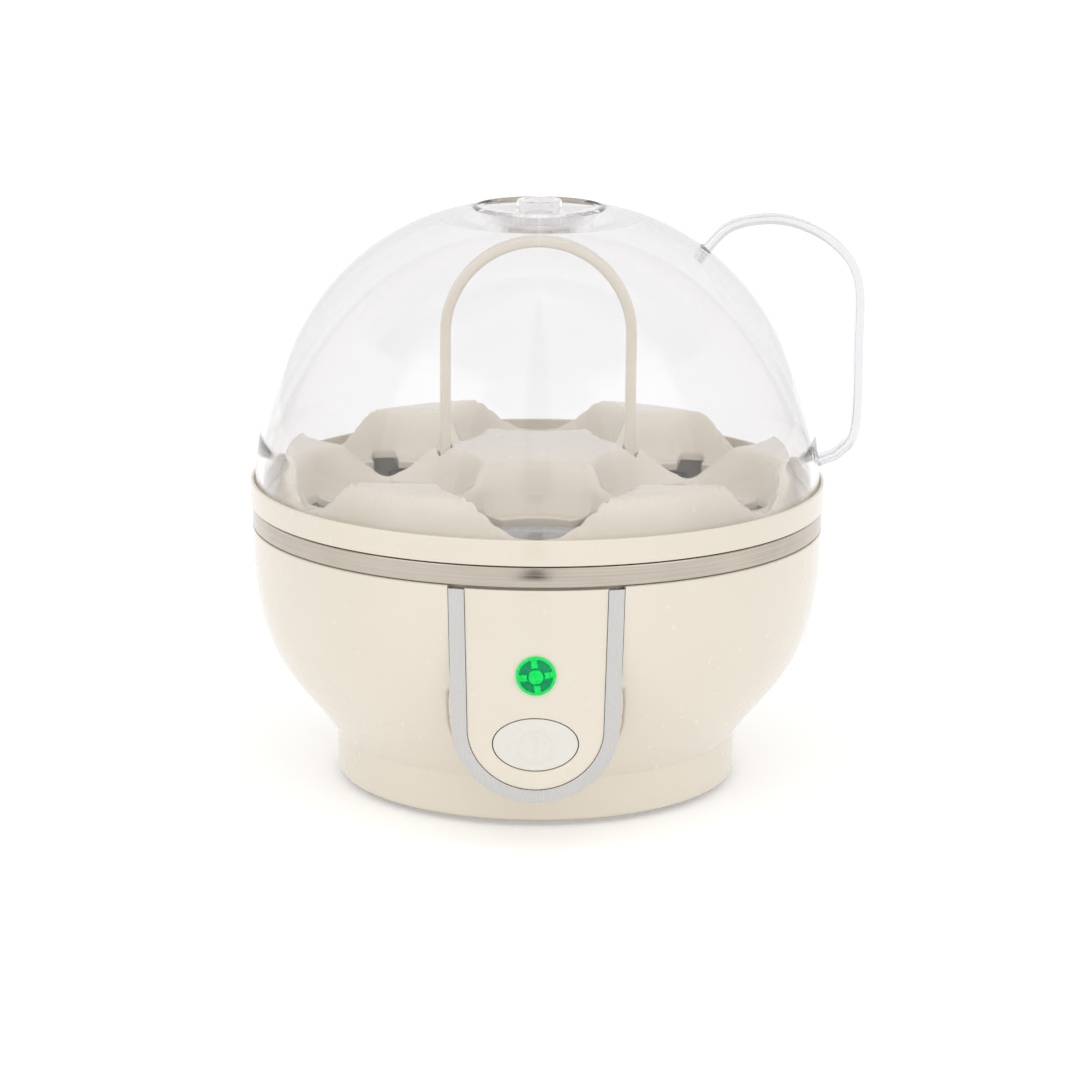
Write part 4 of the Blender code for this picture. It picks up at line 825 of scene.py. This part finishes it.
def power_button():
    bm = bmesh.new()
    rows = [[button_surface(0, BUTTON_HEIGHT)]]
    for share in np.linspace(0.08, 0.96, 14).tolist():
        rows.append([button_surface(x, z) for x, z in
                     oval(BUTTON_HALF_WIDTH * share, BUTTON_HALF_HEIGHT * share, BUTTON_HEIGHT)])
    edge = 0.2
    for step in range(5):
        turn = pi / 2 * step / 4
        inset = edge * (1 - sin(turn))
        ring = oval(BUTTON_HALF_WIDTH - inset, BUTTON_HALF_HEIGHT - inset, BUTTON_HEIGHT)
        rows.append([on_cylinder(x, z, PANEL_FACE + 0.05 - edge * (1 - cos(turn))) for x, z in ring])
    for grow, depth in ((0, 1.9), (BUTTON_FLANGE, 2.1), (BUTTON_FLANGE, 3.2)):
        ring = oval(BUTTON_HALF_WIDTH + grow, BUTTON_HALF_HEIGHT + grow, BUTTON_HEIGHT)
        rows.append([on_cylinder(x, z, PANEL_FACE - depth) for x, z in ring])
    rows.append([on_cylinder(0, BUTTON_HEIGHT, PANEL_FACE - 3.2)])
    skin(bm, rows)
    stem = [[(x, y, BUTTON_HEIGHT + z) for x, z in rounded_rectangle(6, 6, 0.6)]
            for y in (-PANEL_FACE + 2.8, BUTTON_HIGH.y)]
    skin(bm, stem, capped=True)
    finish_piece("power_button", bm, "button", "button_plastic", ["power_button"])


def button_icon():
    """The raised mark: a ring with an upright bar."""
    low, ring_radius, width, height = BUTTON_HEIGHT - 0.8, 4.4, 0.5, 0.1
    bm = bmesh.new()
    section = [(-width / 2, -0.15), (-width / 2, height * 0.6), (-width / 4, height), (width / 4, height),
               (width / 2, height * 0.6), (width / 2, -0.15)]
    rows = []
    for offset, up in section:
        ring = circle(ring_radius + offset, (0, low), 64)
        rows.append([button_surface(x, z, up) for x, z in ring])
    skin(bm, rows, close_rows=True)
    bar = [[button_surface(offset, low + z, up) for offset, up in section]
           for z in np.linspace(-2.9, 2.9, 9).tolist()]
    skin(bm, bar, capped=True)
    finish_piece("button_icon", bm, "button", "button_plastic")


# ---------------- heater's visible parts and the underside

def round_box(node):
    """(lowest height, highest height, middle, radius) of an upright round CAD node."""
    low, high = box(node)
    return low.z, high.z, (low + high) / 2, (high.x - low.x) / 2


def deck_ring():
    low, high = box("deck_ring")
    flange = box("heating_plate")[1].x + GAP + 0.1
    seat = box("plate_gasket")[0].z - GAP
    ledge = flange - 5.4
    profile = filleted([(ledge, seat, 0.3), (flange, seat), (flange, seat + 5, 0.4),
                        (flange + 3.5, seat + 5, 1.0), (SHELF_INNER, high.z, 1.0), (high.x, high.z, 0.4),
                        (high.x, high.z - 3, 0.3), (SHELF_INNER - 1, high.z - 3),
                        (flange + 2, seat + 2.6), (flange + 2, low.z), (ledge, low.z, 0.3)])
    turned_piece("deck_ring", profile, "base", "cream_plastic", ["deck_ring"])


def heating_plate():
    low, high = box("heating_plate")
    outer = high.x
    wall = outer - 7
    flange = high.z - 1
    upper = [(outer, high.z, 0.3), (wall, high.z, 1.2), (wall - 3.9, low.z + 1, 3.5)]
    for radius in (36, 24, 12):
        upper += [(radius + 0.7, low.z + 1, 0.5), (radius + 0.2, low.z + 1.35, 0.5),
                  (radius - 0.2, low.z + 1.35, 0.5), (radius - 0.7, low.z + 1, 0.5)]
    lower = [(wall - 3.4, low.z, 3.5), (wall + 0.6, flange, 1.0), (outer, flange, 0.3)]
    outline = filleted([(0, low.z), *lower, *upper, (0, low.z + 1)], 5, False)
    turned_piece("heating_plate", outline, "base", "plate_steel", ["heating_plate"])


def bottom_cover():
    holes = []
    for i in range(PAD_COUNT):
        middle, radius = round_box(f"foot_{i + 1}")[2:]
        holes.append(circle(radius + GAP, middle[:2]))
    for i in range(SCREW_COUNT):
        middle = round_box(f"cover_screw_{i + 1}")[2]
        holes.append(circle(3.2, middle[:2], 32))
    for i in range(6):
        turn = Matrix.Rotation(radians(60 * i), 2)
        slot = [turn @ (Vector(point) + Vector((23, 0))) for point in rounded_rectangle(14, 2.4, 1.1, 6)]
        holes.append([tuple(point) for point in slot])
    bm = bmesh.new()
    plate_mesh(bm, circle(box("bottom_cover")[1].x, count=120), holes, lambda x, y, depth: (x, y, depth),
               3.0, 0.35, 3.0)
    finish_piece("bottom_cover", bm, "base", "cream_plastic", ["bottom_cover"])


def foot_pads():
    """Rubber pads, a little hollow underneath."""
    for i in range(PAD_COUNT):
        name = f"foot_{i + 1}"
        low, high, middle, radius = round_box(name)
        profile = filleted([(0, low + 0.3), (radius * 0.55, low + 0.3, 0.3), (radius * 0.62, low, 0.3),
                            (radius - 0.7, low, 0.6), (radius, 0.2, 0.3), (radius, high, 0.3),
                            (0, high)], 4, False)
        turned_piece(f"pad_{i + 1}", profile, "base", "rubber", [name], SMALL_ROUND,
                     (middle.x, middle.y, 0))


def cover_screws():
    """Pan-head screws with a cross recess."""
    for i in range(SCREW_COUNT):
        name = f"cover_screw_{i + 1}"
        low, high, middle, radius = round_box(name)
        head = low + 1.2
        profile = filleted([(0, low), (radius * 0.8, low, 0.5), (radius, head, 0.15), (1.3, head),
                            (1.3, high - 1.2), (0, high)], 4, False)
        made = turned_piece(f"cover_screw_head_{i + 1}", profile, "base", "zinc_steel", [name], 32,
                            (middle.x, middle.y, 0))
        for turn in (0, 90):
            cross = bmesh.new()
            bmesh.ops.create_cube(cross, size=1)
            turned_bar = Matrix.Rotation(radians(turn + 20), 4, "Z") @ Matrix.Diagonal((3.2, 0.6, 1.5, 1))
            cross.transform(Matrix.Translation((middle.x, middle.y, low)) @ turned_bar)
            cut(made, cross, "cross")


def cord_gland():
    low, high = box("cord_gland")
    height = (low.z + high.z) / 2
    bore = (high.x - low.x) / 2 - 2.4
    flange = FOOT_RADIUS + GAP
    profile = filleted([(bore, low.y, 0.3), (bore + 0.8, low.y), (bore + 0.8, flange),
                        (bore + 2.4, flange, 0.3), (bore + 2.0, high.y, 0.5), (bore, high.y, 0.4)])
    turned_piece("cord_gland", profile, "base", "dark_plastic", ["cord_gland"], SMALL_ROUND,
                 (0, 0, height), "Y")


# ---------------- egg tray

CUPS = [polar(CUP_RING, -90 + 360 * i / CUP_COUNT) for i in range(CUP_COUNT)]


def tray_surface(x, y):
    """Height of the tray's upper side: flat cups with rounded hills between them."""
    nearness = sum(exp(-hypot(x - cup.x, y - cup.y) / RIDGE_SOFTNESS) for cup in CUPS)
    distance = -RIDGE_SOFTNESS * log(max(nearness, 1e-30))
    hill = HILL_HEIGHT * ease((distance - CUP_WALL_START) / CUP_WALL_RUN)
    return TRAY_FLOOR + hill * (1 - ease((hypot(x, y) - BOWL_RADIUS + 10.2) / 4))


def cup_hole(cup):
    """Outline of one egg place's hole, with its four notches."""
    outward = degrees(atan2(cup.y, cup.x))
    count = 216
    outline = []
    for step in range(count):
        angle = 360 * step / count
        nearest = min(abs((angle - notch + 180) % 360 - 180) for notch in CUP_NOTCHES)
        reach = CUP_HOLE_RADIUS + (CUP_NOTCH_RADIUS - CUP_HOLE_RADIUS) * ease((14 - nearest) / 5)
        point = cup + polar(reach, outward + angle)
        outline.append((point.x, point.y))
    return outline


def egg_tray():
    holes = [cup_hole(cup) for cup in CUPS]
    for side in (-1, 1):
        slot = rounded_rectangle(ARCH_THICKNESS + 2 * GAP, ARCH_WIDTH + 2 * GAP, 0.5, 3)
        holes.append([(x + side * ARCH_HALF_WIDTH, y) for x, y in slot])
    bm = bmesh.new()
    edge = RIM_RADIUS - RIM_LIP - 0.05
    plate_mesh(bm, circle(edge, count=ROUND), holes, lambda x, y, depth: (x, y, tray_surface(x, y) - depth),
               TRAY_SHEET, 0.45, 1.15)
    rim_inner = RIM_RADIUS - RIM_LIP
    turned(bm, filleted([(rim_inner, RIM_BOTTOM + 0.1), (rim_inner, RIM_TOP, 0.35),
                         (RIM_RADIUS, RIM_TOP, 0.5), (RIM_RADIUS, RIM_BOTTOM, 0.8)]))
    skirt = NECK_INNER - 0.9
    turned(bm, filleted([(skirt - 2, TRAY_LOW.z, 0.4), (skirt, TRAY_LOW.z, 0.4), (skirt, RIM_BOTTOM + 1),
                         (skirt - 2, RIM_BOTTOM + 1)]))
    finish_piece("egg_tray", bm, "tray", "cream_plastic", ["egg_tray"], 70)


def tray_handle():
    """The lifting arch: two legs joined by a half circle."""
    spring = ARCH_HIGH.z - ARCH_THICKNESS / 2 - ARCH_HALF_WIDTH
    leg = np.linspace(ARCH_LOW.z, spring, 6, endpoint=False).tolist()
    path = [(-ARCH_HALF_WIDTH, z) for z in leg]
    for angle in np.linspace(180, 0, 73).tolist():
        arc = polar(ARCH_HALF_WIDTH, angle)
        path.append((arc.x, spring + arc.y))
    path += [(ARCH_HALF_WIDTH, z) for z in reversed(leg)]
    bm = bmesh.new()
    strap_mesh(bm, path, ARCH_THICKNESS, ARCH_WIDTH, 1.1, 5)
    finish_piece("tray_handle", bm, "tray", "cream_plastic", ["tray_handle"])


# ---------------- lid

def dome_radius(height, radius=LID_RADIUS, tall=LID_HEIGHT):
    """Radius of the dome at a height above its widest level."""
    share = min(max(height / tall, 0), 1)
    return radius * max(1 - share ** DOME_POWER_UP, 0) ** (1 / DOME_POWER_OUT)


def lid_profile():
    floor = DISH_RIM - DISH_DEPTH
    top_share = 0.9823
    shares = [top_share * sin(pi / 2 * i / 64) for i in range(65)]
    outer = [(LID_RADIUS - 0.5, LID_BOTTOM), (LID_RADIUS - 0.15, LID_BOTTOM + 0.15),
             (LID_RADIUS, LID_BOTTOM + 0.5)]
    outer += [(dome_radius(share * LID_HEIGHT), LID_SPRING + share * LID_HEIGHT) for share in shares]
    dish = filleted([(DISH_RADIUS + 1.3, DISH_RIM - 0.4), (DISH_RADIUS, DISH_RIM, 0.6),
                     (DISH_RADIUS - 1.2, DISH_RIM - 0.6, 0.8), (DISH_RADIUS - 4.5, floor, 2.5),
                     (VENT_RADIUS + 2.6, floor, 0.6), (VENT_RADIUS + 2.2, VENT_TOP, 0.6),
                     (VENT_RADIUS, VENT_TOP, 0.5), (VENT_RADIUS, floor - LID_WALL, 0.4),
                     (DISH_RADIUS - 3.6, floor - LID_WALL, 2.5),
                     (DISH_RADIUS + 0.8, DISH_RIM - 0.6 - LID_WALL)], 5, False)[1:]
    inner_tall = LID_HEIGHT - LID_WALL
    low_share = (LID_STEP - LID_SPRING) / inner_tall
    inner = []
    for i in range(49):
        share = low_share + (0.95 - low_share) * sin(pi / 2 * (1 - i / 48))
        rise = share * inner_tall
        inner.append((dome_radius(rise, LID_RADIUS - LID_WALL, inner_tall), LID_SPRING + rise))
    for height in np.linspace(LID_STEP - 0.4, LID_SPRING, 12).tolist():
        wall = LID_WALL + (LID_SKIRT_WALL - LID_WALL) * ease((LID_STEP - height) / LID_STEP_RUN)
        inner.append((dome_radius(height - LID_SPRING) - wall, height))
    skirt = LID_RADIUS - LID_SKIRT_WALL
    return outer + dish + inner + [(skirt, LID_BOTTOM + 0.3), (skirt + 0.3, LID_BOTTOM)]


def lid_strap_path(steps):
    """Middle line of the clear strap, from its upper hook to its lower one."""
    upper, lower, reach = STRAP_UPPER, STRAP_LOWER, STRAP_REACH
    top_in, low_in = dome_radius(upper - LID_SPRING), dome_radius(lower - LID_SPRING)
    points = [(top_in - 2.6, upper - 3.4), (top_in, upper), (top_in + 7.6, upper + 6.7),
              (reach - 21.6, upper + 8.2), (reach - 8.5, upper + 2.7), (reach - 0.8, upper - 7.6),
              (reach, upper - 26.7), (reach - 0.4, lower + 9.4), (reach - 4.6, lower + 2.4),
              (low_in + 0.8, lower), (low_in - 3.4, lower - 1.4)]
    return smooth_path(points, steps)


def lid():
    dome = turned_piece("lid_dome", lid_profile(), "lid", "clear_plastic", ["lid_dome"])
    steps = 10
    path = lid_strap_path(steps)
    ends = (path[:2 * steps], path[:-int(1.5 * steps) - 1:-1])
    for end in ends:
        first = Vector(end[0])
        further = tuple(first + (first - Vector(end[1])).normalized() * 2)
        cutter = bmesh.new()
        strap_mesh(cutter, [further, *end], STRAP_THICKNESS + 2 * GAP, STRAP_WIDTH + 2 * GAP, 0.4, 3)
        cut(dome, cutter, "hook_slot")
    dome.data.shade_smooth()
    dome.data.set_sharp_from_angle(angle=radians(38))
    bm = bmesh.new()
    strap_mesh(bm, path, STRAP_THICKNESS, STRAP_WIDTH, 0.8, 4)
    strap = finish_piece("lid_handle", bm, "lid", "clear_plastic", ["lid_handle"])
    # The strap's darker clear finish is painted shade.
    strap.data.materials[0] = STRAP_PAINTED_SHADE_FINISH


# ---------------- CAD nodes that stay in view

def dress_cad_nodes():
    for entry in frame["record"]["subparts"]:
        mesh = frame["nodes"][entry["node"]].data
        mesh.materials.clear()
        mesh.materials.append(FINISHES[entry["material_slot"]])


# ---------------- studio, in metres

FLOOR_LEVEL = box("foot_1")[0].z * MM


def studio_sheet(name, segments, size, place, finish):
    """A flat rectangle of the studio, lying on the floor's level or just above it."""
    bm = bmesh.new()
    bmesh.ops.create_grid(bm, x_segments=segments, y_segments=segments, size=0.5)
    bm.transform(Matrix.Diagonal((*size, 1, 1)))
    made = object_of(name, bm)
    made.data.materials.append(finish)
    made.location = place


def paper(name, colour, cloud, change, rough):
    """Matt paper or felt with faint clouds."""
    made, tree, shader = new_material(name)
    mottle = noise(tree, frame_coordinates(tree), cloud)
    feed(shader, {"Base Color": tinted(tree, mottle, colour, change), "Roughness": rough})
    return made, shader


def studio_floor():
    finish, shader = paper("floor_paper", (0.85, 0.85, 0.85), 8.0, 0.004, 0.75)
    feed(shader, {"Emission Color": (1, 1, 1, 1), "Emission Strength": 0.24, "Specular IOR Level": 0.15})
    finish.cycles.emission_sampling = "NONE"
    studio_sheet("floor", 4, (32.0, 32.0), (0, 0, FLOOR_LEVEL), finish)


def studio_card():
    """A dark card lying in front, out of the picture; the steel band mirrors it as a dark bar."""
    finish = paper("card_felt", (0.02, 0.02, 0.02), 400.0, 0.3, 0.9)[0]
    studio_sheet("dark_card", 2, (0.058, 0.42), (-0.006, -0.56, FLOOR_LEVEL + 0.001), finish)


def studio_world():
    """A white room with a darker opening in front, between the two softboxes."""
    world = bpy.data.worlds.new("studio")
    bpy.context.scene.world = world
    world.use_nodes = True
    tree = world.node_tree
    tree.nodes.clear()
    place = tree.nodes.new("ShaderNodeTexCoord").outputs["Generated"]
    way = wire(tree, "ShaderNodeSeparateXYZ", Vector=place)
    across = compute(tree, "ABSOLUTE", way.outputs["X"])
    ahead = compute(tree, "MAXIMUM", compute(tree, "MULTIPLY", way.outputs["Y"], -1.0), 0.001)
    ratio = compute(tree, "DIVIDE", across, ahead)
    opening = ramp(tree, ratio, 0.075, 0.13, 0.6, 1.0)
    edge = ramp(tree, ratio, 1.8, 4.0, 0.45, 0.0)
    upward = ramp(tree, way.outputs["Z"], 0.55, 0.9, 1.0, 0.75)
    glow = compute(tree, "MULTIPLY_ADD", edge, upward, 0.88)
    background = wire(tree, "ShaderNodeBackground", Color=(1, 1, 1, 1),
                      Strength=compute(tree, "MULTIPLY", glow, opening))
    plain = wire(tree, "ShaderNodeBackground", Color=(1, 1, 1, 1), Strength=1.0)
    seen = tree.nodes.new("ShaderNodeLightPath").outputs["Is Camera Ray"]
    both = wire(tree, "ShaderNodeMixShader", i0=seen, i1=background.outputs[0], i2=plain.outputs[0])
    wire(tree, "ShaderNodeOutputWorld", Surface=both.outputs[0])


def studio_light(name, side):
    """A softbox in front of the object, on its left (-1) or its right (1)."""
    place, aim = Vector((0.75 * side, -0.65, 0.55)), Vector((0, 0, 0.08))
    light = bpy.data.lights.new(name, "AREA")
    light.shape = "RECTANGLE"
    light.size, light.size_y, light.energy = 0.7, 0.9, 0.8
    made = linked(name, light)
    made.location = place
    made.rotation_euler = (aim - place).to_track_quat("-Z", "Y").to_euler()


def studio_camera():
    """Level across the object's front, looking slightly down on it."""
    tilt, roll = radians(90 - 13.42), radians(0.40)
    camera = bpy.data.cameras.new("camera")
    camera.lens, camera.sensor_width = 124.0, 36.0
    camera.clip_start, camera.clip_end = 0.05, 60.0
    made = linked("camera", camera)
    turn = Matrix.Rotation(tilt, 4, "X") @ Matrix.Rotation(roll, 4, "Z")
    made.matrix_world = Matrix.Translation((0.000826, -1.019284, 0.308338)) @ turn
    bpy.context.scene.camera = made


# ---------------- the whole scene

dress_cad_nodes()
base_shell()
base_shoulder()
steel_band()
panel_trim()
front_panel()
indicator_lens()
power_button()
button_icon()
deck_ring()
heating_plate()
bottom_cover()
foot_pads()
cover_screws()
cord_gland()
egg_tray()
tray_handle()
lid()
studio_floor()
studio_card()
studio_world()
studio_light("softbox_left", -1)
studio_light("softbox_right", 1)
studio_camera()
bpy.context.scene.view_settings.view_transform = "Standard"
bpy.context.scene.cycles.max_bounces = 36
bpy.context.scene.cycles.glossy_bounces = 28
bpy.context.scene.cycles.transmission_bounces = 20
